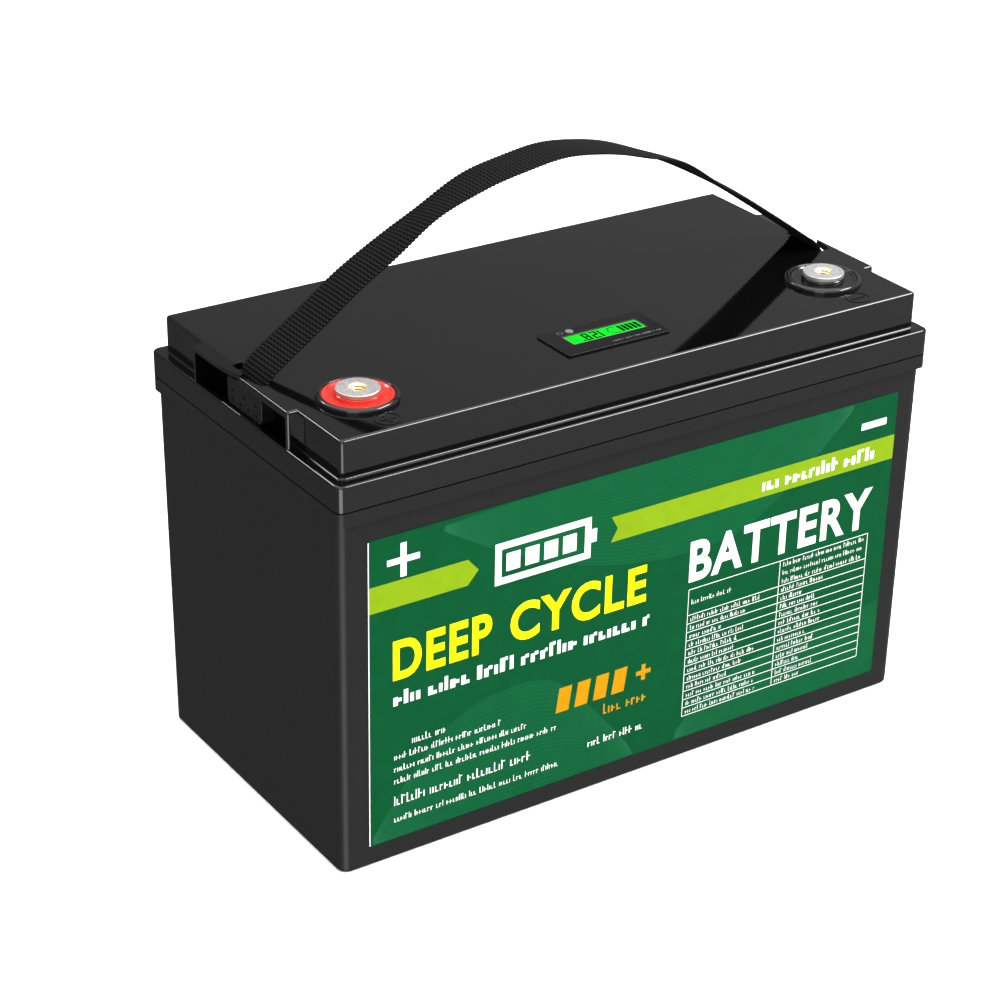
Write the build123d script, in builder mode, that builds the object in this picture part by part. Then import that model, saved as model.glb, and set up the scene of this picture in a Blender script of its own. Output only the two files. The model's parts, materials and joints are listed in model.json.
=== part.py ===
from build123d import *
from math import acos, cos, pi, radians, sin, tan
import os

# Deep cycle battery with a webbing carry strap, a flush meter and two bolt-in terminals.
# Millimetres. X runs along the battery, -Y is the labelled front, +Z is up.
# The origin is the centre of the footprint, on the surface the battery stands on.

os.makedirs("parts", exist_ok=True)

# ---------------------------------------------------------------- tolerances
FIT = 0.1
PICK = 0.01

# ---------------------------------------------------------------- outer size
LENGTH = 328.0
DEPTH = 172.0
DECK_Z = 215.0
FLANGE_Z = 197.1
SEAM_Z = 184.5
SEAM_GAP = 0.7
COLLAR_Z = 177.5
WALL = 3.0

# ---------------------------------------------------------------- case
BASE_LENGTH = 325.4
BASE_DEPTH = 164.6
SHOULDER_LENGTH = 326.0
SHOULDER_DEPTH = 167.4
CASE_CORNER = 5.5
COLLAR_CORNER = 4.2

# ---------------------------------------------------------------- lid
DECK_LENGTH = 317.5
DECK_DEPTH = 159.6
DECK_CORNER = 2.2
DECK_EDGE = 1.5
FOOT_COVE = 1.0
HOOD_CORNER = 1.7
FLANGE_EDGE = 1.2
HOOD_X = 163.6
HOOD_ROOT_X = 150.0
HOOD_BACK_Y = 43.6
HOOD_FRONT_Y = -42.9
LIP = 3.0
POCKET_X = 154.4
POCKET_FLOOR_Z = 190.0
POCKET_SILL_X = 161.2
POCKET_BACK_Y = 40.9
POCKET_FRONT_Y = -41.4
POCKET_WALL = 2.2
HORN_TIP_X = 160.9
HORN_TIP_Y = 3.2
HORN_CURL_Y = 22.0
HORN_SLOPE_X = 157.4
HORN_DROP = 2.6
STEP_Y = -0.4
SLOT_BACK_Y = 13.8
SLOT_FRONT_Y = -14.4
SLOT_OUTER_X = 159.2
SKIRT_GAP = 0.5
SKIRT_WALL = 1.6
MARK_X = 130.0
MARK_Y = -70.4
MARK_R = 6.2
MARK_LINE = 0.7
MARK_BAR = 7.0
MARK_STROKE = 1.4
MARK_HEIGHT = 0.25

# ---------------------------------------------------------------- strap
STRAP_WIDTH = 24.4
STRAP_THICK = 1.6
STRAP_Y = -1.0
STRAP_RISE = 75.4
STRAP_SPAN = 316.0
STRAP_POWER = 1.06
STRAP_SLOT_X = 157.0
STRAP_END_Z = 199.0
SWING_CLEARANCE = 25.0
STRAP_GAP = 0.3
CLIP_WIDTH = 31.0
CLIP_Z = (197.5, 210.8)
CLIP_X = (154.8, 161.6)
STITCH_R = 0.8
STITCH_DEPTH = 1.2
# (height, holes, spacing) of each row of stitches
STITCH_ROWS = ((200.6, 4, 7.1), (205.0, 3, 10.6))

# ---------------------------------------------------------------- terminals
TERMINAL_X = 129.6
TERMINAL_Y = -45.0
TERMINAL_TOP_Z = 220.0
DISC_R = 10.0
DISC_THICK = 1.9
NECK_R = 7.6
STUD_R = 7.0
STUD_BOTTOM_Z = 192.0
THREAD_R = 3.4
THREAD_BOTTOM_Z = 202.0
MOUTH_R = 4.3
DISH_R = 15.9
RING_R = 18.5
RING_TOP_Z = 217.4
RIM_Z = 217.0
DISH_FLOOR_Z = 216.5
DISH_FOOT_Z = 216.2
COLLAR_LIP_Z = 217.9
NECK_SEAT_Z = 215.9
SLEEVE_R = 9.0
BOSS_R = 13.0
BOSS_BOTTOM_Z = 208.0
LUG_Z = (204.0, 206.4)
NUT_HEIGHT = 8.0
NUT_FLATS = 22.0

# ---------------------------------------------------------------- meter
METER_X = 0.8
METER_Y = -44.4
METER_LENGTH = 57.0
METER_DEPTH = 26.8
METER_THICK = 1.0
WINDOW_X = 2.0
WINDOW_Y = -43.4
WINDOW_LENGTH = 40.6
WINDOW_DEPTH = 9.8
BUTTON_X = -12.0
BUTTON_Y = -35.0
BUTTON_R = 2.0
BUTTON_CLEARANCE = 0.1
BUTTON_FLANGE = 0.25
BUTTON_FLANGE_THICK = 0.7
BUTTON_TRAVEL = 0.4
PLUNGER_R = 1.1
SWITCH_GAP = 0.05

# ---------------------------------------------------------------- label
LABEL_LENGTH = 297.8
LABEL_HEIGHT = 156.6
LABEL_MID_X = 0.4
LABEL_MID_Z = 88.5
LABEL_THICK = 0.3

# ---------------------------------------------------------------- cells and electronics
CELLS = 4
CELL_LENGTH = 54.0
CELL_DEPTH = 150.0
CELL_HEIGHT = 141.0
CELL_PITCH = 55.2
CELL_BASE_Z = 7.0
CELL_TOP_Z = CELL_BASE_Z + CELL_HEIGHT
POST_Y = 55.0
POST_R = 7.0
POST_HEIGHT = 3.0
BAR_THICK = 2.0
BAR_Z = CELL_TOP_Z + POST_HEIGHT
SCREW_R = 3.0
BOARD_Z = 166.0
BMS_LENGTH = 122.0
BMS_DEPTH = 66.0
BMS_Y = 14.0
TRANSISTOR_HEIGHT = 2.4
HEATSINK_LENGTH = 76.0
HEATSINK_DEPTH = 34.0
HEATSINK_PLATE = 2.2
HEATSINK_FINS = 8
HEATSINK_FIN = 1.4
HEATSINK_PITCH = 4.4
HEATSINK_FIN_HEIGHT = 5.0
BMS_Z = 174.0
BMS_THICK = 1.6
LEAD_R = 3.4
WIRE_R = 0.9

RIGHT = 1
LEFT = -1
SIDES = {"left": LEFT, "right": RIGHT}
POLES = {"positive": LEFT, "negative": RIGHT}
CELL_XS = [(i - (CELLS - 1) / 2) * CELL_PITCH for i in range(CELLS)]


def finish(builder, name):
    """Label a finished piece and write it to its own STEP file."""
    builder.part.label = name
    export_step(builder.part, f"parts/{name}.step")


def level(z, x=0.0, y=0.0):
    """A horizontal plane at height z, with its origin at x, y."""
    return Plane((x, y, z))


def strap_point(x, lift=0.0):
    """A point of the strap's arch above x, moved off its middle line by lift along the normal."""
    phase = pi * x / STRAP_SPAN
    rise = STRAP_RISE * cos(phase) ** STRAP_POWER
    slope = -STRAP_RISE * STRAP_POWER * cos(phase) ** (STRAP_POWER - 1) * sin(phase) * pi / STRAP_SPAN
    scale = lift / (1 + slope * slope) ** 0.5
    return (x - slope * scale, DECK_Z + rise + scale)


def lead_radii(points):
    """The bend radius at each inner corner: 0.45 of the shorter run over tan(half the turn)."""
    spots = [Vector(*p) for p in points]
    radii = []
    for before, here, after in zip(spots, spots[1:], spots[2:]):
        run_in = here - before
        run_out = after - here
        half_turn = radians(run_in.get_angle(run_out)) / 2
        radii.append(0.45 * min(run_in.length, run_out.length) / tan(half_turn))
    return radii


def make_lead(name, points, radius):
    """A round lead swept along straight runs joined by tangent arcs."""
    radii = lead_radii(points)
    with BuildPart() as lead:
        with BuildLine() as route:
            FilletPolyline(*points, radius=radii)
        path = route.wires()[0]
        with BuildSketch(Plane(path @ 0, z_dir=path % 0)):
            Circle(radius)
        sweep()
    finish(lead, name)
    tube_volume = pi * radius ** 2 * path.length
    print(name, "length", round(path.length, 1), "mm, tightest bend", round(min(radii), 1), "mm,",
          "volume over section times length", round(lead.part.volume / tube_volume, 3))


# ================================================================ case tub
with BuildPart() as case_tub:
    with BuildSketch(level(0)):
        RectangleRounded(BASE_LENGTH, BASE_DEPTH, CASE_CORNER)
    with BuildSketch(level(COLLAR_Z)):
        RectangleRounded(SHOULDER_LENGTH, SHOULDER_DEPTH, CASE_CORNER)
    loft()
    fillet(case_tub.edges().group_by(Axis.Z)[0], 1.2)
    with BuildSketch(level(COLLAR_Z)):
        RectangleRounded(LENGTH, DEPTH, COLLAR_CORNER)
    extrude(amount=SEAM_Z - SEAM_GAP / 2 - COLLAR_Z)
    with BuildSketch(level(WALL)):
        RectangleRounded(BASE_LENGTH - 2 * WALL, BASE_DEPTH - 2 * WALL, CASE_CORNER - 2)
    with BuildSketch(level(SEAM_Z)):
        RectangleRounded(SHOULDER_LENGTH - 2 * WALL, SHOULDER_DEPTH - 2 * WALL, CASE_CORNER - 2)
    loft(mode=Mode.SUBTRACT)
    # seal groove round the rim
    with BuildSketch(level(SEAM_Z - SEAM_GAP / 2)):
        RectangleRounded(LENGTH - 3.2, DEPTH - 4.2, 3.4)
        RectangleRounded(LENGTH - 6.8, DEPTH - 7.8, 2.4, mode=Mode.SUBTRACT)
    extrude(amount=-1.6, mode=Mode.SUBTRACT)
    # ribs that stand either side of the cell block
    with BuildSketch(level(WALL)):
        with GridLocations(2 * 113.7, 154.0, 2, 2):
            Rectangle(2.4, 7.0)
    extrude(amount=120.0)
finish(case_tub, "case_tub")

with BuildPart() as lid_gasket:
    with BuildSketch(level(SEAM_Z - SEAM_GAP / 2 - 1.6)):
        RectangleRounded(LENGTH - 3.4, DEPTH - 4.4, 3.3)
        RectangleRounded(LENGTH - 6.6, DEPTH - 7.6, 2.5, mode=Mode.SUBTRACT)
    extrude(amount=1.6 + SEAM_GAP)
finish(lid_gasket, "lid_gasket")

# ================================================================ lid
# space inside the lid, kept clear of the two strap pockets
with BuildPart() as lid_cavity:
    with BuildSketch(level(SEAM_Z - 1)):
        RectangleRounded(LENGTH - 2 * 4.6, DEPTH - 2 * 5.6, 2.0)
    extrude(amount=FLANGE_Z - WALL - SEAM_Z + 1)
    with BuildSketch(level(FLANGE_Z - WALL)):
        RectangleRounded(DECK_LENGTH - 2 * WALL, DECK_DEPTH - 2 * WALL, 1.0)
    extrude(amount=DECK_Z - FLANGE_Z)
    with BuildSketch(level(POCKET_FLOOR_Z - POCKET_WALL)):
        for side in SIDES.values():
            with Locations((side * (POCKET_X - POCKET_WALL + 10), (POCKET_BACK_Y + POCKET_FRONT_Y) / 2)):
                Rectangle(20.0, POCKET_BACK_Y - POCKET_FRONT_Y + 2 * POCKET_WALL)
    extrude(amount=DECK_Z, mode=Mode.SUBTRACT)
    with BuildSketch(level(BOSS_BOTTOM_Z)):
        for side in SIDES.values():
            with Locations((side * TERMINAL_X, TERMINAL_Y)):
                Circle(BOSS_R)
    extrude(amount=DECK_Z, mode=Mode.SUBTRACT)

with BuildPart() as lid_cover:
    with BuildSketch(level(SEAM_Z + SEAM_GAP / 2)):
        RectangleRounded(LENGTH, DEPTH, COLLAR_CORNER)
    extrude(amount=FLANGE_Z - SEAM_Z - SEAM_GAP / 2)
    fillet(lid_cover.edges().group_by(Axis.Z)[-1], FLANGE_EDGE)
    with BuildSketch(level(FLANGE_Z - 1)):
        RectangleRounded(DECK_LENGTH, DECK_DEPTH, DECK_CORNER)
    extrude(amount=DECK_Z - FLANGE_Z + 1)
    # small cove where the raised deck block stands on the flange
    flange_edges = lid_cover.edges().filter_by_position(Axis.Z, FLANGE_Z - PICK, FLANGE_Z + PICK)
    foot_edges = flange_edges.filter_by_position(Axis.X, -DECK_LENGTH / 2, DECK_LENGTH / 2)
    fillet(foot_edges.filter_by_position(Axis.Y, -DECK_DEPTH / 2, DECK_DEPTH / 2), FOOT_COVE)
    # hood at each end: its back horn curls in towards the strap slot
    with BuildSketch(level(FLANGE_Z - 1)) as hood_plan:
        for side in SIDES.values():
            with BuildLine():
                outer = Line((side * HOOD_ROOT_X, HOOD_BACK_Y), (side * HOOD_X, HOOD_BACK_Y))
                straight = Line(outer @ 1, (side * HOOD_X, HORN_CURL_Y))
                curl = Spline(
                    straight @ 1,
                    (side * 162.7, 12.0),
                    (side * HORN_TIP_X, HORN_TIP_Y),
                    tangents=((0, -1), (-side * 0.35, -1)),
                )
                step = Line(curl @ 1, (side * HOOD_X, STEP_Y))
                front = Line(step @ 1, (side * HOOD_X, HOOD_FRONT_Y))
                back_in = Line(front @ 1, (side * HOOD_ROOT_X, HOOD_FRONT_Y))
                Line(back_in @ 1, outer @ 0)
            make_face()
    extrude(amount=DECK_Z - FLANGE_Z + 1)
    upright_edges = lid_cover.edges().filter_by(Axis.Z)
    for side in SIDES.values():
        hood_x = side * HOOD_X
        end_edges = upright_edges.filter_by_position(Axis.X, hood_x - PICK, hood_x + PICK)
        for corner_y in (HOOD_FRONT_Y, HOOD_BACK_Y):
            fillet(end_edges.filter_by_position(Axis.Y, corner_y - PICK, corner_y + PICK), HOOD_CORNER)
    fillet(lid_cover.faces().sort_by(Axis.Z)[-1].outer_wire().edges(), DECK_EDGE)
    add(lid_cavity.part, mode=Mode.SUBTRACT)
    # locating skirt that drops inside the case
    skirt_length = SHOULDER_LENGTH - 2 * WALL - 2 * SKIRT_GAP
    skirt_depth = SHOULDER_DEPTH - 2 * WALL - 2 * SKIRT_GAP
    with BuildSketch(level(SEAM_Z + 4.0)):
        RectangleRounded(skirt_length, skirt_depth, 2.8)
        RectangleRounded(
            skirt_length - 2 * SKIRT_WALL,
            skirt_depth - 2 * SKIRT_WALL,
            1.4,
            mode=Mode.SUBTRACT,
        )
    extrude(amount=-10.0)
    # pockets under the hoods, open to the ends, with a well behind the sill
    for side in SIDES.values():
        pocket_mid_y = (POCKET_BACK_Y + POCKET_FRONT_Y) / 2
        pocket_depth = POCKET_BACK_Y - POCKET_FRONT_Y
        with BuildSketch(level(FLANGE_Z)):
            with Locations((side * (POCKET_X + 10.0), pocket_mid_y)):
                Rectangle(20.0, pocket_depth)
        extrude(amount=DECK_Z - LIP - FLANGE_Z, mode=Mode.SUBTRACT)
        with BuildSketch(level(POCKET_FLOOR_Z)):
            with Locations((side * (POCKET_X + POCKET_SILL_X) / 2, pocket_mid_y)):
                Rectangle(POCKET_SILL_X - POCKET_X, pocket_depth)
        extrude(amount=FLANGE_Z - POCKET_FLOOR_Z + 0.5, mode=Mode.SUBTRACT)
        # strap slot and its slanted entry between the two horns
        with BuildSketch(level(DECK_Z - LIP - 1)):
            Polygon(
                (side * POCKET_X, SLOT_BACK_Y),
                (side * SLOT_OUTER_X, SLOT_BACK_Y),
                (side * (SLOT_OUTER_X + FIT), HORN_TIP_Y),
                (side * (HOOD_X + 2), HORN_TIP_Y),
                (side * (HOOD_X + 2), STEP_Y),
                (side * (HOOD_X - 1.0), STEP_Y),
                (side * (SLOT_OUTER_X + 0.2), SLOT_FRONT_Y + 0.6),
                (side * POCKET_X, SLOT_FRONT_Y),
                align=None,
            )
        extrude(amount=LIP + 2, mode=Mode.SUBTRACT)
        # the back horn's top falls away outwards
        with BuildSketch(Plane.XZ.offset(-HOOD_BACK_Y - 1)):
            Polygon(
                (side * HORN_SLOPE_X, DECK_Z),
                (side * 170.0, DECK_Z - HORN_DROP),
                (side * 170.0, DECK_Z + 2),
                (side * HORN_SLOPE_X, DECK_Z + 2),
                align=None,
            )
        extrude(amount=HOOD_BACK_Y - HORN_TIP_Y + 2, mode=Mode.SUBTRACT)
    # terminal bores and the meter's opening
    with BuildSketch(level(BOSS_BOTTOM_Z - 1)):
        for side in SIDES.values():
            with Locations((side * TERMINAL_X, TERMINAL_Y)):
                Circle(SLEEVE_R + FIT)
    extrude(amount=20, mode=Mode.SUBTRACT)
    with BuildSketch(level(DECK_Z - LIP - 1)):
        with Locations((METER_X, METER_Y)):
            RectangleRounded(METER_LENGTH - 2.0, METER_DEPTH - 1.2, 1.0)
    extrude(amount=LIP + 2, mode=Mode.SUBTRACT)
    # raised polarity marks beside the terminals
    with BuildSketch(level(DECK_Z)):
        for side in SIDES.values():
            with Locations((side * MARK_X, MARK_Y)):
                Circle(MARK_R)
                Circle(MARK_R - MARK_LINE, mode=Mode.SUBTRACT)
                Rectangle(MARK_BAR, MARK_STROKE)
                if side == LEFT:
                    Rectangle(MARK_STROKE, MARK_BAR)
    extrude(amount=MARK_HEIGHT)
finish(lid_cover, "lid_cover")

# ================================================================ strap
# the arch turns as one piece down to the height SWING_CLEARANCE above the deck
arch_end_x = STRAP_SPAN / pi * acos((SWING_CLEARANCE / STRAP_RISE) ** (1 / STRAP_POWER))
with BuildPart() as carry_strap:
    with BuildSketch(Plane.XZ.offset(-STRAP_Y - STRAP_WIDTH / 2)):
        with BuildLine():
            stations = [arch_end_x * step / 6 for step in range(-6, 7)]
            upper = Spline(*[strap_point(x, STRAP_THICK / 2) for x in stations])
            lower = Spline(*[strap_point(x, -STRAP_THICK / 2) for x in stations])
            Line(upper @ 0, lower @ 0)
            Line(upper @ 1, lower @ 1)
        make_face()
    extrude(amount=STRAP_WIDTH)
finish(carry_strap, "carry_strap")

# strap ends: down from the arch, over the slot's edge and into the clip in the pocket
for word, side in SIDES.items():
    with BuildPart() as strap_end:
        with BuildSketch(Plane.XZ.offset(-STRAP_Y - STRAP_WIDTH / 2)):
            with BuildLine():
                start_x = arch_end_x + STRAP_GAP
                falling = [strap_point(start_x + (150.0 - start_x) * step / 4) for step in range(5)]
                bend = [(155.4, 216.4), (STRAP_SLOT_X, 212.6)]
                spots = [(side * x, z) for x, z in falling + bend]
                drop = Spline(*spots, tangents=((side * 0.78, -0.62), (0, -1)))
                Line(drop @ 1, (side * STRAP_SLOT_X, STRAP_END_Z))
            trace(line_width=STRAP_THICK)
        extrude(amount=STRAP_WIDTH)
    finish(strap_end, f"strap_end_{word}")

    # stitched clip plate: wider than the slot, so the strap can't pull out
    clip_thick = CLIP_X[1] - CLIP_X[0]
    clip_height = CLIP_Z[1] - CLIP_Z[0]
    with BuildPart() as strap_clip:
        with BuildSketch(Plane.YZ.offset(side * CLIP_X[0])):
            with Locations((STRAP_Y, sum(CLIP_Z) / 2)):
                RectangleRounded(CLIP_WIDTH, clip_height, 2.4)
        extrude(amount=side * clip_thick)
        with BuildSketch(level(STRAP_END_Z)):
            with Locations((side * STRAP_SLOT_X, STRAP_Y)):
                Rectangle(STRAP_THICK + 0.3, STRAP_WIDTH + 0.4)
        extrude(amount=clip_height, mode=Mode.SUBTRACT)
        with BuildSketch(Plane.YZ.offset(side * CLIP_X[1])):
            for row_z, holes, spacing in STITCH_ROWS:
                with Locations((STRAP_Y, row_z)):
                    with GridLocations(spacing, 1, holes, 1):
                        Circle(STITCH_R)
        extrude(amount=-side * STITCH_DEPTH, mode=Mode.SUBTRACT)
        fillet(strap_clip.faces().sort_by(Axis.X)[0 if side == LEFT else -1].outer_wire().edges(), 0.5)
    finish(strap_clip, f"strap_clip_{word}")

# ================================================================ terminals
for word, side in POLES.items():
    centre = (side * TERMINAL_X, TERMINAL_Y)

    with BuildPart() as terminal:
        with BuildSketch(level(STUD_BOTTOM_Z, *centre)):
            Circle(STUD_R)
        extrude(amount=216.0 - STUD_BOTTOM_Z)
        with BuildSketch(level(216.0, *centre)):
            Circle(NECK_R)
        extrude(amount=TERMINAL_TOP_Z - DISC_THICK - 216.0)
        with BuildSketch(level(TERMINAL_TOP_Z - DISC_THICK, *centre)):
            Circle(DISC_R)
        extrude(amount=DISC_THICK)
        chamfer(terminal.edges().group_by(Axis.Z)[-1], 0.3)
        with Locations(level(TERMINAL_TOP_Z, *centre)):
            CounterSinkHole(THREAD_R, MOUTH_R, depth=TERMINAL_TOP_Z - THREAD_BOTTOM_Z)
    finish(terminal, f"{word}_terminal")

    # insulating dish: a sleeve through the lid, a shallow dish and a raised collar round the neck
    with BuildPart() as dish:
        with BuildSketch(Plane((centre[0], centre[1], 0), x_dir=(1, 0, 0), z_dir=(0, -1, 0))):
            Polygon(
                (STUD_R + FIT, BOSS_BOTTOM_Z),
                (SLEEVE_R, BOSS_BOTTOM_Z),
                (SLEEVE_R, DECK_Z),
                (DISH_R, DECK_Z),
                (DISH_R, RIM_Z),
                (15.1, RIM_Z),
                (14.4, DISH_FLOOR_Z),
                (10.5, DISH_FOOT_Z),
                (10.2, 217.6),
                (9.8, COLLAR_LIP_Z),
                (NECK_R + FIT, COLLAR_LIP_Z),
                (NECK_R + FIT, NECK_SEAT_Z),
                (STUD_R + FIT, NECK_SEAT_Z),
                align=None,
            )
        revolve(axis=Axis((centre[0], centre[1], 0), (0, 0, 1)))
    finish(dish, f"{word}_terminal_dish")

    with BuildPart() as ring:
        with BuildSketch(level(DECK_Z, *centre)):
            Circle(RING_R)
            Circle(DISH_R + 0.15, mode=Mode.SUBTRACT)
        extrude(amount=RING_TOP_Z - DECK_Z)
        ring_top = ring.edges().group_by(Axis.Z)[-1].sort_by(SortBy.RADIUS)
        fillet(ring_top[-1], 1.5)
        fillet(ring.edges().group_by(Axis.Z)[-1].sort_by(SortBy.RADIUS)[0], 0.6)
    finish(ring, f"{word}_terminal_ring")

# fasteners under the lid: one washer, one lug and one nut on each stud
with BuildPart() as terminal_washers:
    with BuildSketch(level(LUG_Z[1])):
        with GridLocations(2 * TERMINAL_X, 1, 2, 1):
            with Locations((0, TERMINAL_Y)):
                Circle(12.0)
                Circle(STUD_R + 0.2, mode=Mode.SUBTRACT)
    extrude(amount=BOSS_BOTTOM_Z - LUG_Z[1])
finish(terminal_washers, "terminal_washers")

with BuildPart() as terminal_lugs:
    for side in SIDES.values():
        with BuildSketch(level(LUG_Z[0], side * TERMINAL_X, TERMINAL_Y)):
            Circle(12.0)
            with Locations((0, 9.0)):
                Rectangle(12.0, 14.0)
            Circle(STUD_R + 0.2, mode=Mode.SUBTRACT)
        extrude(amount=LUG_Z[1] - LUG_Z[0])
        with BuildSketch(Plane((side * TERMINAL_X, TERMINAL_Y + 14.0, sum(LUG_Z) / 2), z_dir=(0, 1, 0))):
            Circle(LEAD_R + 1.2)
        extrude(amount=13.0)
        with BuildSketch(Plane((side * TERMINAL_X, TERMINAL_Y + 16.0, sum(LUG_Z) / 2), z_dir=(0, 1, 0))):
            Circle(LEAD_R + FIT)
        extrude(amount=20.0, mode=Mode.SUBTRACT)
finish(terminal_lugs, "terminal_lugs")

with BuildPart() as terminal_nuts:
    with BuildSketch(level(LUG_Z[0] - NUT_HEIGHT)):
        for side in SIDES.values():
            with Locations((side * TERMINAL_X, TERMINAL_Y)):
                RegularPolygon(NUT_FLATS / 2, 6, major_radius=False)
                Circle(STUD_R + 0.05, mode=Mode.SUBTRACT)
    extrude(amount=NUT_HEIGHT)
finish(terminal_nuts, "terminal_nuts")

# ================================================================ meter
frame_length = METER_LENGTH - 2.4
frame_depth = METER_DEPTH - 1.6
meter_board_z = 208.4
meter_board_thick = 1.2
switch_height = 1.4
switch_top_z = meter_board_z + meter_board_thick + switch_height
with BuildPart() as meter_bezel:
    with BuildSketch(level(DECK_Z, METER_X, METER_Y)):
        RectangleRounded(METER_LENGTH, METER_DEPTH, 1.8)
    extrude(amount=METER_THICK)
    fillet(meter_bezel.edges().group_by(Axis.Z)[-1], 0.35)
    # frame that passes through the lid, with four snap hooks under it
    with BuildSketch(level(DECK_Z, METER_X, METER_Y)):
        RectangleRounded(frame_length, frame_depth, 0.9)
        RectangleRounded(frame_length - 1.8, frame_depth - 1.8, 0.4, mode=Mode.SUBTRACT)
    extrude(amount=-8.0)
    with BuildSketch(Plane((METER_X, METER_Y, DECK_Z), x_dir=(0, 1, 0), z_dir=(1, 0, 0))):
        for end in (1, -1):
            edge = end * frame_depth / 2
            Polygon((edge, -3.2), (edge + end * 1.1, -3.4), (edge, -6.0), align=None)
    extrude(amount=5.0, both=True)
    with BuildSketch(level(DECK_Z - 1)):
        with Locations((WINDOW_X, WINDOW_Y)):
            RectangleRounded(WINDOW_LENGTH, WINDOW_DEPTH, 0.5)
        with Locations((BUTTON_X, BUTTON_Y)):
            Circle(BUTTON_R + BUTTON_CLEARANCE)
    extrude(amount=METER_THICK + 2, mode=Mode.SUBTRACT)
finish(meter_bezel, "meter_bezel")

with BuildPart() as meter_display:
    with BuildSketch(level(DECK_Z - 1.4)):
        with Locations((WINDOW_X, WINDOW_Y)):
            RectangleRounded(WINDOW_LENGTH + 2.0, WINDOW_DEPTH + 1.8, 0.4)
    extrude(amount=1.4)
    with BuildSketch(level(DECK_Z)):
        with Locations((WINDOW_X, WINDOW_Y)):
            RectangleRounded(WINDOW_LENGTH - 0.2, WINDOW_DEPTH - 0.2, 0.4)
    extrude(amount=0.7)
finish(meter_display, "meter_display")

with BuildPart() as meter_backlight:
    with BuildSketch(level(DECK_Z - 4.2)):
        with Locations((WINDOW_X, WINDOW_Y)):
            Rectangle(WINDOW_LENGTH + 1.0, WINDOW_DEPTH + 1.0)
    extrude(amount=2.8)
finish(meter_backlight, "meter_backlight")

with BuildPart() as meter_button:
    with BuildSketch(level(DECK_Z, BUTTON_X, BUTTON_Y)):
        Circle(BUTTON_R)
    extrude(amount=METER_THICK + 0.5)
    fillet(meter_button.edges().group_by(Axis.Z)[-1], 0.3)
    with BuildSketch(level(DECK_Z, BUTTON_X, BUTTON_Y)):
        Circle(BUTTON_R + BUTTON_FLANGE)
    extrude(amount=-BUTTON_FLANGE_THICK)
    with BuildSketch(level(switch_top_z + BUTTON_TRAVEL + SWITCH_GAP, BUTTON_X, BUTTON_Y)):
        Circle(PLUNGER_R)
    extrude(amount=DECK_Z - BUTTON_FLANGE_THICK - switch_top_z - BUTTON_TRAVEL - SWITCH_GAP)
finish(meter_button, "meter_button")

with BuildPart() as meter_board:
    with BuildSketch(level(meter_board_z, METER_X, METER_Y)):
        Rectangle(frame_length - 2.4, frame_depth - 2.4)
    extrude(amount=meter_board_thick)
    with BuildSketch(level(meter_board_z + meter_board_thick)):
        with Locations((WINDOW_X, WINDOW_Y)):
            Rectangle(WINDOW_LENGTH - 6.0, WINDOW_DEPTH - 2.0)
    extrude(amount=DECK_Z - 4.2 - meter_board_z - meter_board_thick)
finish(meter_board, "meter_board")

# tactile switch under the button, with the rubber dome that returns it
with BuildPart() as meter_switch:
    with BuildSketch(level(switch_top_z - switch_height, BUTTON_X, BUTTON_Y)):
        RectangleRounded(4.2, 3.6, 0.4)
    extrude(amount=switch_height)
finish(meter_switch, "meter_switch")

dome_top_z = DECK_Z - BUTTON_FLANGE_THICK - 0.05
with BuildPart() as meter_button_dome:
    with BuildSketch(Plane((BUTTON_X, BUTTON_Y, 0), x_dir=(1, 0, 0), z_dir=(0, -1, 0))):
        Polygon(
            (1.5, switch_top_z),
            (1.8, switch_top_z),
            (1.7, dome_top_z),
            (1.3, dome_top_z),
            align=None,
        )
    revolve(axis=Axis((BUTTON_X, BUTTON_Y, 0), (0, 0, 1)))
finish(meter_button_dome, "meter_button_dome")

# ================================================================ front label
wall_lean = (SHOULDER_DEPTH - BASE_DEPTH) / 2
label_y = -(BASE_DEPTH / 2 + wall_lean * LABEL_MID_Z / COLLAR_Z)
label_plane = Plane(
    (LABEL_MID_X, label_y, LABEL_MID_Z),
    x_dir=(1, 0, 0),
    z_dir=(0, -COLLAR_Z, -wall_lean),
)
with BuildPart() as front_label:
    with BuildSketch(label_plane):
        RectangleRounded(LABEL_LENGTH, LABEL_HEIGHT, 1.0)
    extrude(amount=LABEL_THICK)
finish(front_label, "front_label")

# ================================================================ cells
for number, x in enumerate(CELL_XS, 1):
    with BuildPart() as cell:
        with BuildSketch(level(CELL_BASE_Z, x)):
            RectangleRounded(CELL_LENGTH, CELL_DEPTH, 3.0)
        extrude(amount=CELL_HEIGHT)
        fillet(cell.edges().group_by(Axis.Z)[-1] + cell.edges().group_by(Axis.Z)[0], 0.8)
        # pressure vent and the threaded wells under the posts
        with BuildSketch(level(CELL_TOP_Z, x)):
            SlotOverall(26.0, 13.0, rotation=90)
        extrude(amount=-0.7, mode=Mode.SUBTRACT)
        with BuildSketch(level(CELL_TOP_Z, x)):
            with GridLocations(1, 2 * POST_Y, 1, 2):
                Circle(SCREW_R + 0.2)
        extrude(amount=-7.0, mode=Mode.SUBTRACT)
    finish(cell, f"cell_{number}")

with BuildPart() as cell_posts:
    with BuildSketch(level(CELL_TOP_Z)):
        with GridLocations(CELL_PITCH, 2 * POST_Y, CELLS, 2):
            Circle(POST_R)
            Circle(SCREW_R + FIT, mode=Mode.SUBTRACT)
    extrude(amount=POST_HEIGHT)
finish(cell_posts, "cell_posts")

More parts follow.
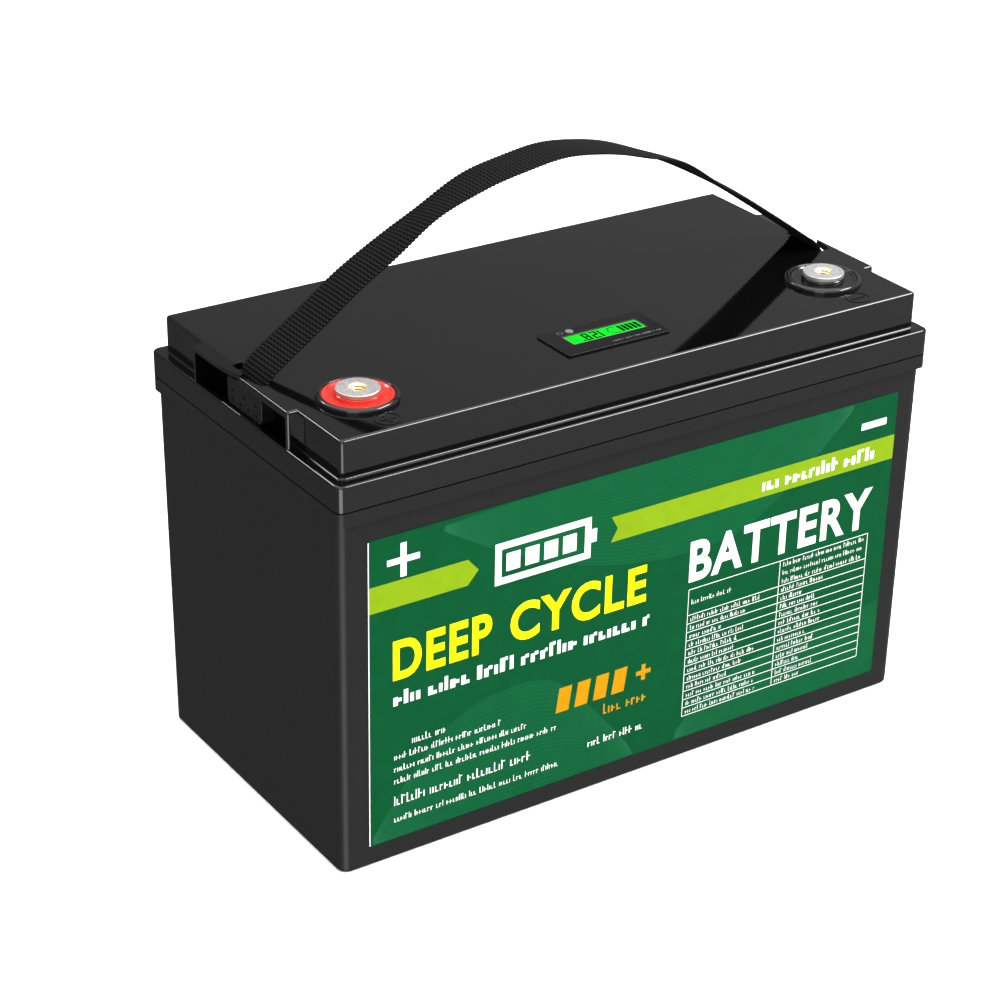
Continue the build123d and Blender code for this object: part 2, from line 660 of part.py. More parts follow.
# series links: cells 1-2 at the back, 2-3 at the front, 3-4 at the back
for number in range(1, CELLS):
    bar_y = POST_Y if number % 2 else -POST_Y
    bar_x = (CELL_XS[number - 1] + CELL_XS[number]) / 2
    with BuildPart() as busbar:
        with BuildSketch(level(BAR_Z, bar_x, bar_y)):
            SlotOverall(CELL_PITCH + 18.0, 18.0)
            with GridLocations(CELL_PITCH, 1, 2, 1):
                Circle(SCREW_R + 0.2, mode=Mode.SUBTRACT)
        extrude(amount=BAR_THICK)
        fillet(busbar.edges().group_by(Axis.Z)[-1], 0.4)
    finish(busbar, f"series_busbar_{number}")

# lugs on the two free posts, with their barrels pointing outwards
with BuildPart() as cell_lugs:
    for side in SIDES.values():
        lug_x = side * abs(CELL_XS[0])
        barrel_z = BAR_Z + LEAD_R + 1.2
        with BuildSketch(level(BAR_Z, lug_x, -POST_Y)):
            Circle(8.0)
            with Locations((side * 8.0, 0)):
                Rectangle(12.0, 10.0)
            Circle(SCREW_R + 0.2, mode=Mode.SUBTRACT)
        extrude(amount=BAR_THICK)
        with BuildSketch(Plane((lug_x + side * 12.0, -POST_Y, barrel_z), z_dir=(side, 0, 0))):
            Circle(LEAD_R + 1.2)
        extrude(amount=12.0)
        with BuildSketch(Plane((lug_x + side * 14.0, -POST_Y, barrel_z), z_dir=(side, 0, 0))):
            Circle(LEAD_R + FIT)
        extrude(amount=20.0, mode=Mode.SUBTRACT)
finish(cell_lugs, "cell_lugs")

with BuildPart() as cell_bolts:
    with BuildSketch(level(BAR_Z + BAR_THICK)):
        with GridLocations(CELL_PITCH, 2 * POST_Y, CELLS, 2):
            RegularPolygon(5.0, 6, major_radius=False)
    extrude(amount=4.0)
    with BuildSketch(level(BAR_Z + BAR_THICK)):
        with GridLocations(CELL_PITCH, 2 * POST_Y, CELLS, 2):
            Circle(SCREW_R)
    extrude(amount=-10.0)
finish(cell_bolts, "cell_bolts")

with BuildPart() as cell_spacers:
    with BuildSketch(level(CELL_BASE_Z + 1)):
        with GridLocations(CELL_PITCH, 1, CELLS - 1, 1):
            Rectangle(1.0, CELL_DEPTH - 4.0)
    extrude(amount=CELL_HEIGHT - 4.0)
finish(cell_spacers, "cell_spacers")

block_end_x = CELL_XS[-1] + CELL_LENGTH / 2
with BuildPart() as end_plates:
    with BuildSketch(level(CELL_BASE_Z)):
        with GridLocations(2 * block_end_x + 2.0, 1, 2, 1):
            Rectangle(1.6, CELL_DEPTH - 4.0)
    extrude(amount=CELL_HEIGHT - 6.0)
finish(end_plates, "end_plates")

with BuildPart() as cell_bands:
    for band_z in (38.0, 108.0):
        with BuildSketch(level(band_z)):
            RectangleRounded(2 * block_end_x + 4.6, CELL_DEPTH + 1.2, 2.0)
            RectangleRounded(2 * block_end_x + 3.8, CELL_DEPTH + 0.4, 1.6, mode=Mode.SUBTRACT)
        extrude(amount=12.0)
finish(cell_bands, "cell_bands")

with BuildPart() as base_pad:
    with BuildSketch(level(WALL)):
        Rectangle(2 * block_end_x + 2.0, CELL_DEPTH - 6.0)
    extrude(amount=CELL_BASE_Z - WALL)
finish(base_pad, "base_pad")

for word, side in SIDES.items():
    with BuildPart() as foam_block:
        with BuildSketch(level(WALL, side * 136.9)):
            RectangleRounded(43.0, CELL_DEPTH, 2.0)
        extrude(amount=134.0)
        chamfer(foam_block.edges().group_by(Axis.Z)[-1], 2.0)
    finish(foam_block, f"foam_block_{word}")

# ================================================================ battery management board
with BuildPart() as board_pillars:
    with BuildSketch(level(CELL_TOP_Z)):
        with Locations((0, BMS_Y)):
            with GridLocations(90.0, 54.0, 2, 2):
                Circle(4.5)
    extrude(amount=BOARD_Z - CELL_TOP_Z)
finish(board_pillars, "board_pillars")

with BuildPart() as insulation_board:
    with BuildSketch(level(BOARD_Z, 0, BMS_Y)):
        RectangleRounded(132.0, 86.0, 3.0)
        with GridLocations(BMS_LENGTH - 8.0, BMS_DEPTH - 8.0, 2, 2):
            Circle(1.6, mode=Mode.SUBTRACT)
    extrude(amount=1.6)
finish(insulation_board, "insulation_board")

with BuildPart() as bms_standoffs:
    with BuildSketch(level(BOARD_Z + 1.6, 0, BMS_Y)):
        with GridLocations(BMS_LENGTH - 8.0, BMS_DEPTH - 8.0, 2, 2):
            RegularPolygon(2.75, 6, major_radius=False)
            Circle(1.6, mode=Mode.SUBTRACT)
    extrude(amount=BMS_Z - BOARD_Z - 1.6)
finish(bms_standoffs, "bms_standoffs")

with BuildPart() as bms_board:
    with BuildSketch(level(BMS_Z, 0, BMS_Y)):
        RectangleRounded(BMS_LENGTH, BMS_DEPTH, 2.0)
        with GridLocations(BMS_LENGTH - 8.0, BMS_DEPTH - 8.0, 2, 2):
            Circle(1.6, mode=Mode.SUBTRACT)
    extrude(amount=BMS_THICK)
finish(bms_board, "bms_board")

board_top_z = BMS_Z + BMS_THICK
with BuildPart() as bms_screws:
    with BuildSketch(level(board_top_z, 0, BMS_Y)):
        with GridLocations(BMS_LENGTH - 8.0, BMS_DEPTH - 8.0, 2, 2):
            Circle(2.8)
    extrude(amount=1.8)
    with BuildSketch(level(board_top_z, 0, BMS_Y)):
        with GridLocations(BMS_LENGTH - 8.0, BMS_DEPTH - 8.0, 2, 2):
            Circle(1.5)
    extrude(amount=-8.0)
finish(bms_screws, "bms_screws")

with BuildPart() as bms_transistors:
    with BuildSketch(level(board_top_z, 0, BMS_Y)):
        with GridLocations(12.0, 17.0, 6, 2):
            Rectangle(9.4, 10.2)
    extrude(amount=TRANSISTOR_HEIGHT)
finish(bms_transistors, "bms_transistors")

with BuildPart() as bms_heatsink:
    heatsink_z = board_top_z + TRANSISTOR_HEIGHT
    with BuildSketch(level(heatsink_z, 0, BMS_Y)):
        RectangleRounded(HEATSINK_LENGTH, HEATSINK_DEPTH, 1.5)
    extrude(amount=HEATSINK_PLATE)
    with BuildSketch(level(heatsink_z + HEATSINK_PLATE, 0, BMS_Y)):
        with GridLocations(1, HEATSINK_PITCH, 1, HEATSINK_FINS):
            Rectangle(HEATSINK_LENGTH, HEATSINK_FIN)
    extrude(amount=HEATSINK_FIN_HEIGHT)
finish(bms_heatsink, "bms_heatsink")

with BuildPart() as bms_sockets:
    with BuildSketch(level(board_top_z)):
        with Locations((-55.0, 10.0)):
            Rectangle(6.0, 22.0)
        with Locations((-30.0, -14.0)):
            Rectangle(8.0, 6.0)
        with Locations((8.0, 42.0)):
            Rectangle(7.0, 6.0)
    extrude(amount=5.0)
finish(bms_sockets, "bms_sockets")

bms_lead_z = board_top_z + LEAD_R + 1.8
bms_lead_ys = (-5.5, 33.0)
with BuildPart() as bms_terminals:
    for y in bms_lead_ys:
        with BuildSketch(level(board_top_z, 52.0, y)):
            Rectangle(13.0, 11.0)
        extrude(amount=1.4)
        with BuildSketch(Plane((47.0, y, bms_lead_z), z_dir=(1, 0, 0))):
            Circle(LEAD_R + 1.2)
        extrude(amount=14.0)
        with BuildSketch(Plane((49.0, y, bms_lead_z), z_dir=(1, 0, 0))):
            Circle(LEAD_R + FIT)
        extrude(amount=20.0, mode=Mode.SUBTRACT)
finish(bms_terminals, "bms_terminals")

# ================================================================ leads
cell_lead_z = BAR_Z + LEAD_R + 1.2
stud_lead_z = sum(LUG_Z) / 2
make_lead(
    "positive_lead",
    [
        (-98.0, -POST_Y, cell_lead_z),
        (-130.0, -POST_Y, cell_lead_z),
        (-142.0, -22.0, 168.0),
        (-136.0, 16.0, 186.0),
        (-TERMINAL_X, 8.0, stud_lead_z),
        (-TERMINAL_X, -27.0, stud_lead_z),
    ],
    LEAD_R,
)
make_lead(
    "negative_cell_lead",
    [
        (98.0, -POST_Y, cell_lead_z),
        (128.0, -POST_Y, cell_lead_z),
        (136.0, -30.0, 167.0),
        (112.0, bms_lead_ys[0], bms_lead_z),
        (51.0, bms_lead_ys[0], bms_lead_z),
    ],
    LEAD_R,
)
make_lead(
    "negative_output_lead",
    [
        (51.0, bms_lead_ys[1], bms_lead_z),
        (98.0, bms_lead_ys[1], bms_lead_z),
        (132.0, 30.0, 188.0),
        (TERMINAL_X + 4.0, 12.0, stud_lead_z - 3.0),
        (TERMINAL_X, -4.0, stud_lead_z),
        (TERMINAL_X, -27.0, stud_lead_z),
    ],
    LEAD_R,
)
make_lead(
    "meter_lead",
    [
        (14.0, -44.0, meter_board_z),
        (14.0, -44.0, 197.0),
        (2.0, -38.0, 188.0),
        (-16.0, -36.0, 182.0),
        (-30.0, -29.0, 178.6),
        (-30.0, -17.0, 178.6),
    ],
    1.4,
)
make_lead(
    "sensor_lead",
    [
        (0.0, 24.0, 150.0),
        (0.0, 42.0, 150.0),
        (7.0, 64.0, 158.0),
        (9.0, 68.0, 170.0),
        (8.0, 58.0, 178.4),
        (8.0, 45.0, 178.6),
    ],
    0.7,
)

with BuildPart() as temperature_sensor:
    with BuildSketch(Plane((0.0, 14.0, CELL_TOP_Z + 2.0), z_dir=(0, 1, 0))):
        Circle(2.0)
    extrude(amount=10.0)
    fillet(temperature_sensor.edges().filter_by(GeomType.CIRCLE), 0.8)
finish(temperature_sensor, "temperature_sensor")

# balance wires: one from the board's socket to each joint of the series chain
WIRE_ROUTES = [
    [
        (-58.0, 2.0, 178.2),
        (-72.0, 2.0, 178.2),
        (-84.0, -16.0, 168.0),
        (-91.0, -36.0, 158.5),
        (-93.0, -48.0, 154.4),
    ],
    [
        (-58.0, 6.0, 178.2),
        (-74.0, 6.0, 178.2),
        (-80.0, -4.0, 163.0),
        (-54.0, -22.0, 157.5),
        (-24.0, -36.0, 156.4),
        (-3.0, -50.0, 154.0),
    ],
    [
        (-58.0, 10.0, 178.2),
        (-76.0, 10.0, 178.2),
        (-84.0, 2.0, 160.5),
        (-60.0, -28.0, 158.5),
        (-30.0, -28.5, 161.2),
        (24.0, -32.0, 160.6),
        (66.0, -37.0, 158.4),
        (91.0, -48.0, 155.0),
    ],
    [
        (-58.0, 14.0, 178.2),
        (-71.0, 14.0, 178.2),
        (-75.0, 21.0, 161.0),
        (-48.0, 31.0, 157.4),
        (-4.0, 30.0, 157.8),
        (34.0, 32.0, 157.0),
        (54.0, 38.0, 156.0),
        (62.0, 50.0, 154.0),
    ],
    [
        (-58.0, 18.0, 178.2),
        (-72.0, 18.0, 178.2),
        (-81.0, 31.0, 166.0),
        (-73.0, 45.0, 157.0),
        (-57.0, 52.0, 154.0),
    ],
]
with BuildPart() as balance_harness:
    for points in WIRE_ROUTES:
        radii = lead_radii(points)
        with BuildLine() as wire_route:
            FilletPolyline(*points, radius=radii)
        path = wire_route.wires()[0]
        with BuildSketch(Plane(path @ 0, z_dir=path % 0)):
            Circle(WIRE_R)
        sweep()
        tightest = round(min(radii), 1)
        print("balance wire length", round(path.length, 1), "mm, tightest bend", tightest, "mm")
finish(balance_harness, "balance_harness")
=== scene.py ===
import json
import math
import random

import bpy
from mathutils import Euler, Matrix, Vector


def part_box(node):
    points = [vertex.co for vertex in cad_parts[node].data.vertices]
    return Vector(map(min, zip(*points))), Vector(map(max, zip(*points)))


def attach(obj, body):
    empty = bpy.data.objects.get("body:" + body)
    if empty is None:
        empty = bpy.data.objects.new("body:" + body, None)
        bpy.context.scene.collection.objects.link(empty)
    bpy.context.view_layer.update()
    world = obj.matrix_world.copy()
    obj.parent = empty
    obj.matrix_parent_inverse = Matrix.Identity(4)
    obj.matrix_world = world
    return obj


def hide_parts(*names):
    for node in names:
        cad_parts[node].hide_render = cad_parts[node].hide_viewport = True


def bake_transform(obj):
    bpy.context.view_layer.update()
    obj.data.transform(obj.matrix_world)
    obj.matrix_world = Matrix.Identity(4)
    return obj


# Looks of a deep cycle battery. The frame gives the places of the CAD nodes; lengths here are in
# millimetres and are turned to Blender's metres by MM.
MM = 0.001

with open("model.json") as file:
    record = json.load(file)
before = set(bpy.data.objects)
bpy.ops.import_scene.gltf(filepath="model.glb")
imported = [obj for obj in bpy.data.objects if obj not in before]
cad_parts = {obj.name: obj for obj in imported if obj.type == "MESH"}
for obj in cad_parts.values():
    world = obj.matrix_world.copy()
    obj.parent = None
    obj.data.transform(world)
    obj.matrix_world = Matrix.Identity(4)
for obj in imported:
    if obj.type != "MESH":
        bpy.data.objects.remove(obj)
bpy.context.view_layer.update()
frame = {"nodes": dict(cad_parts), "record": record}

# ---------------------------------------------------------------- sizes the CAD was made to
STRAP_WIDTH = 24.4
STRAP_THICK = 1.6
STRAP_Y = -1.0
STRAP_RISE = 75.4
STRAP_SPAN = 316.0
STRAP_POWER = 1.06
STRAP_SLOT_X = 157.0
STRAP_END_Z = 199.0
DECK_Z = 215.0
TERMINAL_X = 129.6
TERMINAL_Y = -45.0
TERMINAL_TOP_Z = 220.0
THREAD_BOTTOM_Z = 202.0
THREAD_R = 3.4
MOUTH_R = 4.3
METER_TOP_Z = 216.0
DISPLAY_TOP_Z = 215.7
WINDOW = (2.0, -43.4, 40.6, 9.8)
LABEL_THICK = 0.3


# ================================================================ materials
class Graph:
    """One node material. Numbers that are the same all over go straight on the shader's sockets."""

    def __init__(self, name, **sockets):
        self.material = bpy.data.materials.new(name)
        self.material.use_nodes = True
        self.tree = self.material.node_tree
        self.tree.nodes.clear()
        output = self.tree.nodes.new("ShaderNodeOutputMaterial")
        self.shader = self.tree.nodes.new("ShaderNodeBsdfPrincipled")
        self.tree.links.new(self.shader.outputs["BSDF"], output.inputs["Surface"])
        for socket, value in sockets.items():
            self.shader.inputs[socket.replace("_", " ")].default_value = value

    def node(self, kind, inputs=(), **settings):
        made = self.tree.nodes.new("ShaderNode" + kind)
        for name, value in settings.items():
            setattr(made, name, value)
        for key, value in dict(inputs).items():
            if isinstance(value, bpy.types.NodeSocket):
                self.tree.links.new(value, made.inputs[key])
            else:
                made.inputs[key].default_value = value
        return made

    def math(self, operation, first, second=0.0):
        return self.node("Math", {0: first, 1: second}, operation=operation).outputs[0]

    def place(self):
        """The point on the object, in millimetres of the row frame."""
        coordinates = self.node("TexCoord").outputs["Object"]
        return self.node("VectorMath", {0: coordinates, 3: 1 / MM}, operation="SCALE").outputs[0]

    def noise(self, grain, detail=3.0, stretch=(1, 1, 1)):
        """Noise whose features are about grain millimetres wide, longer along small stretches."""
        spread = self.node("VectorMath", {0: self.place(), 1: stretch}, operation="MULTIPLY").outputs[0]
        return self.node("TexNoise", {"Vector": spread, "Scale": 1 / grain, "Detail": detail}).outputs["Fac"]

    def ramp(self, fac, low, high, start=0.3, end=0.7):
        """A colour that runs from low to high as fac runs from start to end."""
        made = self.node("ValToRGB", {0: fac})
        for element, at, colour in zip(made.color_ramp.elements, (start, end), (low, high)):
            element.position = at
            element.color = (*colour, 1)
        return made.outputs[0]

    def span(self, fac, low, high, start=0.3, end=0.7):
        """A number that runs from low to high as fac runs from start to end."""
        return self.node("MapRange", {0: fac, 1: start, 2: end, 3: low, 4: high}).outputs[0]

    def mix(self, fac, first, second):
        return self.node("Mix", {0: fac, 6: first, 7: second}, data_type="RGBA").outputs[2]

    def wire(self, **sockets):
        for socket, value in sockets.items():
            self.tree.links.new(value, self.shader.inputs[socket.replace("_", " ")])

    def bump(self, height, depth, strength=1.0):
        made = self.node("Bump", {"Height": height, "Distance": depth * MM, "Strength": strength})
        self.wire(Normal=made.outputs[0])


def tint(colour, factor):
    return tuple(min(1.0, channel * factor) for channel in colour)


def plastic(name, colour, roughness, specular=0.5, grain=0.5, depth=0.01, spread=0.12, shade=1.0):
    """Moulded plastic or rubber: fine mould grain, slow drift in colour and uneven polish."""
    g = Graph(name, Specular_IOR_Level=specular)
    dark, light = tint(colour, shade * (1 - spread)), tint(colour, shade * (1 + spread))
    g.wire(Base_Color=g.ramp(g.noise(9.0), dark, light))
    g.wire(Roughness=g.span(g.noise(14.0, 4.0), roughness * 0.94, roughness * 1.06))
    g.bump(g.noise(grain, 2.0), depth)
    return g.material


def metal(name, colour, roughness, brush=(1, 12, 1), depth=0.004):
    """Metal with fine drawn or brushed lines and faint tarnish."""
    g = Graph(name, Metallic=1.0)
    g.wire(Base_Color=g.ramp(g.noise(6.0, 4.0), tint(colour, 0.82), tint(colour, 1.05)))
    lines = g.noise(0.7, 3.0, brush)
    g.wire(Roughness=g.span(lines, roughness * 0.75, roughness * 1.3))
    g.bump(lines, depth)
    return g.material


def foam(name, colour):
    """Closed-cell foam: small round cells over a soft drift, painted darker in their hollows as painted
    shade.
    """
    g = Graph(name, Roughness=0.95, Specular_IOR_Level=0.2)
    cells = g.node("TexVoronoi", {"Vector": g.place(), "Scale": 0.8}).outputs["Distance"]
    # painted shade: the cell hollows, low in the bump, are coloured darker than the cell rims
    g.wire(Base_Color=g.ramp(cells, tint(colour, 0.6), tint(colour, 1.25), 0.0, 0.7))
    g.bump(cells, 0.15)
    return g.material


def circuit_board(name, colour):
    """Solder mask over copper tracks, which show as paler squared paths."""
    g = Graph(name, Roughness=0.32)
    tracks = g.node("TexBrick", {"Vector": g.place(), "Scale": 0.28, "Mortar Size": 0.09}).outputs["Fac"]
    g.wire(Base_Color=g.ramp(tracks, colour, tint(colour, 2.2), 0.2, 0.8))
    g.bump(tracks, 0.03)
    return g.material


TURNING_PITCH = 0.35
FACE_DEPTH = 0.35
HOLE_MARGIN = 0.25
HOLE_COLOUR = (0.70, 0.60, 0.42)


def terminal_metal(name, side, rim_colour):
    """Turned tin-plated face, a brass-coloured threaded hole, and a darker rim and neck."""
    g = Graph(name, Metallic=1.0)
    centred = g.node(
        "VectorMath", {0: g.place(), 1: (-side * TERMINAL_X, -TERMINAL_Y, 0)}, operation="ADD"
    ).outputs[0]
    parts = g.node("SeparateXYZ", {0: centred})
    flat = g.node("CombineXYZ", {0: parts.outputs[0], 1: parts.outputs[1]}).outputs[0]
    radius = g.node("VectorMath", {0: flat}, operation="LENGTH").outputs["Value"]
    rings = g.math("SINE", g.math("MULTIPLY", radius, 2 * math.pi / TURNING_PITCH))
    face = g.ramp(g.noise(2.0, 5.0), (0.43, 0.415, 0.405), (0.53, 0.52, 0.51))
    below_face = g.math("LESS_THAN", parts.outputs[2], TERMINAL_TOP_Z - FACE_DEPTH)
    in_hole = g.math("LESS_THAN", radius, MOUTH_R + HOLE_MARGIN)
    with_rim = g.mix(below_face, face, (*rim_colour, 1))
    g.wire(Base_Color=g.mix(in_hole, with_rim, (*HOLE_COLOUR, 1)))
    g.wire(Roughness=g.span(g.noise(1.4, 3.0), 0.42, 0.55))
    g.bump(rings, 0.006)
    return g.material


RIB_PITCH = 2.0
YARN_WIDTH = 1.5
RIB_STAGGER = 0.12
YARN_GAP_POWER = 0.4
# painted shade for the gaps between ribs and yarns, painted light for the rib crowns
PAINTED_GAP_SHADE, PAINTED_CROWN_LIGHT = (0.0003, 0.0003, 0.0003), (0.0185, 0.0185, 0.019)


def webbing():
    """Ribbed nylon webbing: ribs across the strap, crossed by narrow warp yarns a little out of step. Its
    colour is painted shade in the gaps between ribs and yarns and painted light on the rib crowns.
    """
    g = Graph("webbing_weave", Roughness=0.8, Specular_IOR_Level=0.05)
    uv = g.node("SeparateXYZ", {0: g.node("TexCoord").outputs["UV"]})
    across = g.math("DIVIDE", uv.outputs[0], YARN_WIDTH * MM)
    column = g.math("FLOOR", across)
    pick = g.math("DIVIDE", uv.outputs[1], RIB_PITCH * MM)
    stepped = g.math("ADD", pick, g.math("MULTIPLY", g.math("PINGPONG", column, 1.0), RIB_STAGGER))
    crowns = g.math("ABSOLUTE", g.math("COSINE", g.math("MULTIPLY", stepped, math.pi)))
    gaps = g.math("ABSOLUTE", g.math("SINE", g.math("MULTIPLY", across, math.pi)))
    weave = g.math("MULTIPLY", crowns, g.math("POWER", gaps, YARN_GAP_POWER))
    # colour follows the weave's relief: painted shade in the gaps, painted light on the crowns
    g.wire(Base_Color=g.ramp(weave, PAINTED_GAP_SHADE, PAINTED_CROWN_LIGHT, 0.42, 1.0))
    g.bump(weave, 0.16)
    return g.material


def printed_film(name, colour, spread=0.06, shade=1.0):
    """Ink on satin label film."""
    return plastic(name, colour, 0.45, 0.04, 0.35, 0.002, spread, shade)


LCD_GLOW = 0.85


def lit_panel():
    """The lit liquid-crystal panel, a little brighter towards its lamp end."""
    g = Graph("lit_panel", Roughness=0.4, Specular_IOR_Level=0.05, Emission_Strength=LCD_GLOW)
    across = g.node("SeparateXYZ", {0: g.place()}).outputs[0]
    low, high = WINDOW[0] - WINDOW[2] / 2, WINDOW[0] + WINDOW[2] / 2
    fac = g.node("MapRange", {0: across, 1: low, 2: high}).outputs[0]
    colour = g.ramp(fac, (0.0, 0.80, 0.015), (0.0, 1.0, 0.03), 0.0, 1.0)
    g.wire(Base_Color=g.ramp(fac, (0.0, 0.10, 0.002), (0.0, 0.14, 0.004), 0.0, 1.0), Emission_Color=colour)
    return g.material


def floor_paper():
    """Pale studio paper."""
    g = Graph("studio_paper", Roughness=0.9, Specular_IOR_Level=0.1)
    g.wire(Base_Color=g.ramp(g.noise(300.0), (0.93, 0.93, 0.93), (0.95, 0.95, 0.95)))
    return g.material


# slot: (maker, settings); the colour is the record's own base colour for the slot
LOOKS = {
    "case_plastic": (
        plastic,
        dict(roughness=0.40, specular=0.22, grain=0.45, depth=0.012, spread=0.05, shade=0.5),
    ),
    "lid_plastic": (plastic, dict(roughness=0.06, specular=0.42, grain=9.0, depth=0.001, shade=0.3)),
    "gasket_rubber": (foam, {}),
    "clip_plastic": (plastic, dict(roughness=0.42, specular=0.22, grain=0.4, depth=0.02, shade=0.55)),
    "positive_insulator": (
        plastic,
        dict(roughness=0.14, specular=0.45, grain=3.0, depth=0.004, spread=0.08, shade=0.74),
    ),
    "negative_insulator": (plastic, dict(roughness=0.13, grain=3.0, depth=0.004, shade=0.4)),
    "steel": (metal, dict(roughness=0.32)),
    "copper": (metal, dict(roughness=0.3, brush=(12, 1, 1))),
    "bezel_film": (plastic, dict(roughness=0.38, specular=0.15, grain=0.3, depth=0.004, shade=0.1)),
    "backlight": (plastic, dict(roughness=0.5, grain=1.0, depth=0.005)),
    "button_rubber": (plastic, dict(roughness=0.55, specular=0.3, grain=0.3, depth=0.01, shade=0.36)),
    "circuit_board": (circuit_board, {}),
    "board_part": (plastic, dict(roughness=0.5, grain=0.3, depth=0.01)),
    "socket_plastic": (plastic, dict(roughness=0.45, grain=0.5, depth=0.008)),
    "label_film": (printed_film, dict(shade=0.42)),
    "cell_wrap": (plastic, dict(roughness=0.2, grain=12.0, depth=0.05)),
    "aluminium": (metal, dict(roughness=0.3, brush=(1, 1, 12))),
    "epoxy_sheet": (plastic, dict(roughness=0.4, grain=1.2, depth=0.01)),
    "band_plastic": (plastic, dict(roughness=0.25, grain=1.5, depth=0.02)),
    "foam": (foam, {}),
    "standoff_brass": (metal, dict(roughness=0.28)),
    "red_lead": (plastic, dict(roughness=0.5, grain=0.6, depth=0.01)),
    "black_lead": (plastic, dict(roughness=0.5, grain=0.6, depth=0.01)),
    "harness_wire": (plastic, dict(roughness=0.45, grain=0.5, depth=0.006)),
}


def dress(piece, material):
    piece.data.materials.clear()
    piece.data.materials.append(material)


record = frame["record"]
base_colours = {row["slot"]: row["base_color"] for row in record["materials"]}
slot_materials = {
    slot: maker(slot, tuple(base_colours[slot]), **settings) for slot, (maker, settings) in LOOKS.items()
}
slot_materials["display_glass"] = lit_panel()
weave_material = webbing()
slot_materials["strap_webbing"] = weave_material
for row in record["subparts"]:
    if row["material_slot"] in slot_materials:
        dress(frame["nodes"][row["node"]], slot_materials[row["material_slot"]])
POLES = {"positive": (-1, (0.52, 0.36, 0.26)), "negative": (1, (0.60, 0.58, 0.55))}
for pole, (side, rim_colour) in POLES.items():
    dress(frame["nodes"][pole + "_terminal"], terminal_metal(pole + "_terminal_metal", side, rim_colour))


# ================================================================ mesh helpers
def piece_from(name, points, faces, material, smooth=False):
    """A new mesh piece; points are in millimetres of the row frame."""
    mesh = bpy.data.meshes.new(name)
    mesh.from_pydata([tuple(c * MM for c in p) for p in points], [], faces)
    if smooth:
        mesh.shade_smooth()
    mesh.materials.append(material)
    piece = bpy.data.objects.new(name, mesh)
    bpy.context.scene.collection.objects.link(piece)
    return piece


def slabs(name, outlines, place, top, material, bottom=-0.02):
    """Thin closed slabs, one per outline. place(a, b, lift) turns flat millimetres to a point."""
    points, faces = [], []
    for outline in outlines:
        start, count = len(points), len(outline)
        turn = sum(a[0] * b[1] - b[0] * a[1] for a, b in zip(outline, outline[1:] + outline[:1]))
        ordered = outline if turn > 0 else outline[::-1]
        points += [place(a, b, top) for a, b in ordered]
        points += [place(a, b, bottom) for a, b in ordered]
        faces.append(tuple(range(start, start + count)))
        faces.append(tuple(range(start + 2 * count - 1, start + count - 1, -1)))
        for i in range(count):
            j = (i + 1) % count
            faces.append((start + i, start + count + i, start + count + j, start + j))
    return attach(piece_from(name, points, faces, material), "case")


def bar(a0, b0, a1, b1):
    return [(a0, b0), (a1, b0), (a1, b1), (a0, b1)]


def ribbon(line, width):
    """The outline of a flat line of that width through the given points."""
    left, right = [], []
    for i, (a, b) in enumerate(line):
        before, after = line[max(i - 1, 0)], line[min(i + 1, len(line) - 1)]
        run = math.hypot(after[0] - before[0], after[1] - before[1])
        da, db = (after[0] - before[0]) / run, (after[1] - before[1]) / run
        left.append((a - db * width / 2, b + da * width / 2))
        right.append((a + db * width / 2, b - da * width / 2))
    return left + right[::-1]


def circle(a, b, radius, steps=40):
    return [
        (a + radius * math.cos(2 * math.pi * i / steps), b + radius * math.sin(2 * math.pi * i / steps))
        for i in range(steps)
    ]


def ring_strips(a, b, radius, width, steps=40):
    """A flat ring as short strips, since an outline can't hold a hole."""
    outer, inner = circle(a, b, radius, steps), circle(a, b, radius - width, steps)
    return [[outer[i], outer[(i + 1) % steps], inner[(i + 1) % steps], inner[i]] for i in range(steps)]


def smooth_line(points, steps=10):
    """A Catmull-Rom curve through the points."""
    ends = [points[0], *points, points[-1]]
    made = []
    for p0, p1, p2, p3 in zip(ends, ends[1:], ends[2:], ends[3:]):
        for i in range(steps):
            t = i / steps
            made.append(
                tuple(
                    0.5 * (2 * b + (c - a) * t + (2 * a - 5 * b + 4 * c - d) * t**2
                           + (3 * b - a - 3 * c + d) * t**3)
                    for a, b, c, d in zip(p0, p1, p2, p3)
                )
            )
    return [*made, points[-1]]


# ================================================================ carry strap
def arch_z(x):
    return DECK_Z + STRAP_RISE * math.cos(math.pi * x / STRAP_SPAN) ** STRAP_POWER


ARCH_END_X = 150.0
ARCH_STEPS = 150
SLOT_Z = 208.5
BEND_PULL = 4.5
BEND_STEPS = 20


def strap_half():
    """Points (x, z) from the top of the arch to the right-hand clip."""
    line = [(x, arch_z(x)) for x in (ARCH_END_X * i / ARCH_STEPS for i in range(ARCH_STEPS + 1))]
    (ax, az), (bx, bz) = line[-2], line[-1]
    run = math.hypot(bx - ax, bz - az)
    p0, p3 = Vector((bx, bz)), Vector((STRAP_SLOT_X, SLOT_Z))
    p1 = p0 + Vector(((bx - ax) / run, (bz - az) / run)) * BEND_PULL
    p2 = p3 + Vector((0, BEND_PULL))
    for i in range(1, BEND_STEPS + 1):
        t = i / BEND_STEPS
        p = p0 * (1 - t) ** 3 + p1 * 3 * t * (1 - t) ** 2 + p2 * 3 * t * t * (1 - t) + p3 * t**3
        line.append((p.x, p.y))
    return [*line, (STRAP_SLOT_X, STRAP_END_Z)]


def evenly(line, step):
    """The line again, as points about step apart, with its whole length."""
    lengths = [0.0]
    for a, b in zip(line, line[1:]):
        lengths.append(lengths[-1] + math.dist(a, b))
    count = round(lengths[-1] / step)
    made, at = [], 0
    for i in range(count + 1):
        s = lengths[-1] * i / count
        while at < len(line) - 2 and lengths[at + 1] < s:
            at += 1
        t = (s - lengths[at]) / (lengths[at + 1] - lengths[at])
        made.append(tuple(a + (b - a) * t for a, b in zip(line[at], line[at + 1])))
    return made, lengths[-1]


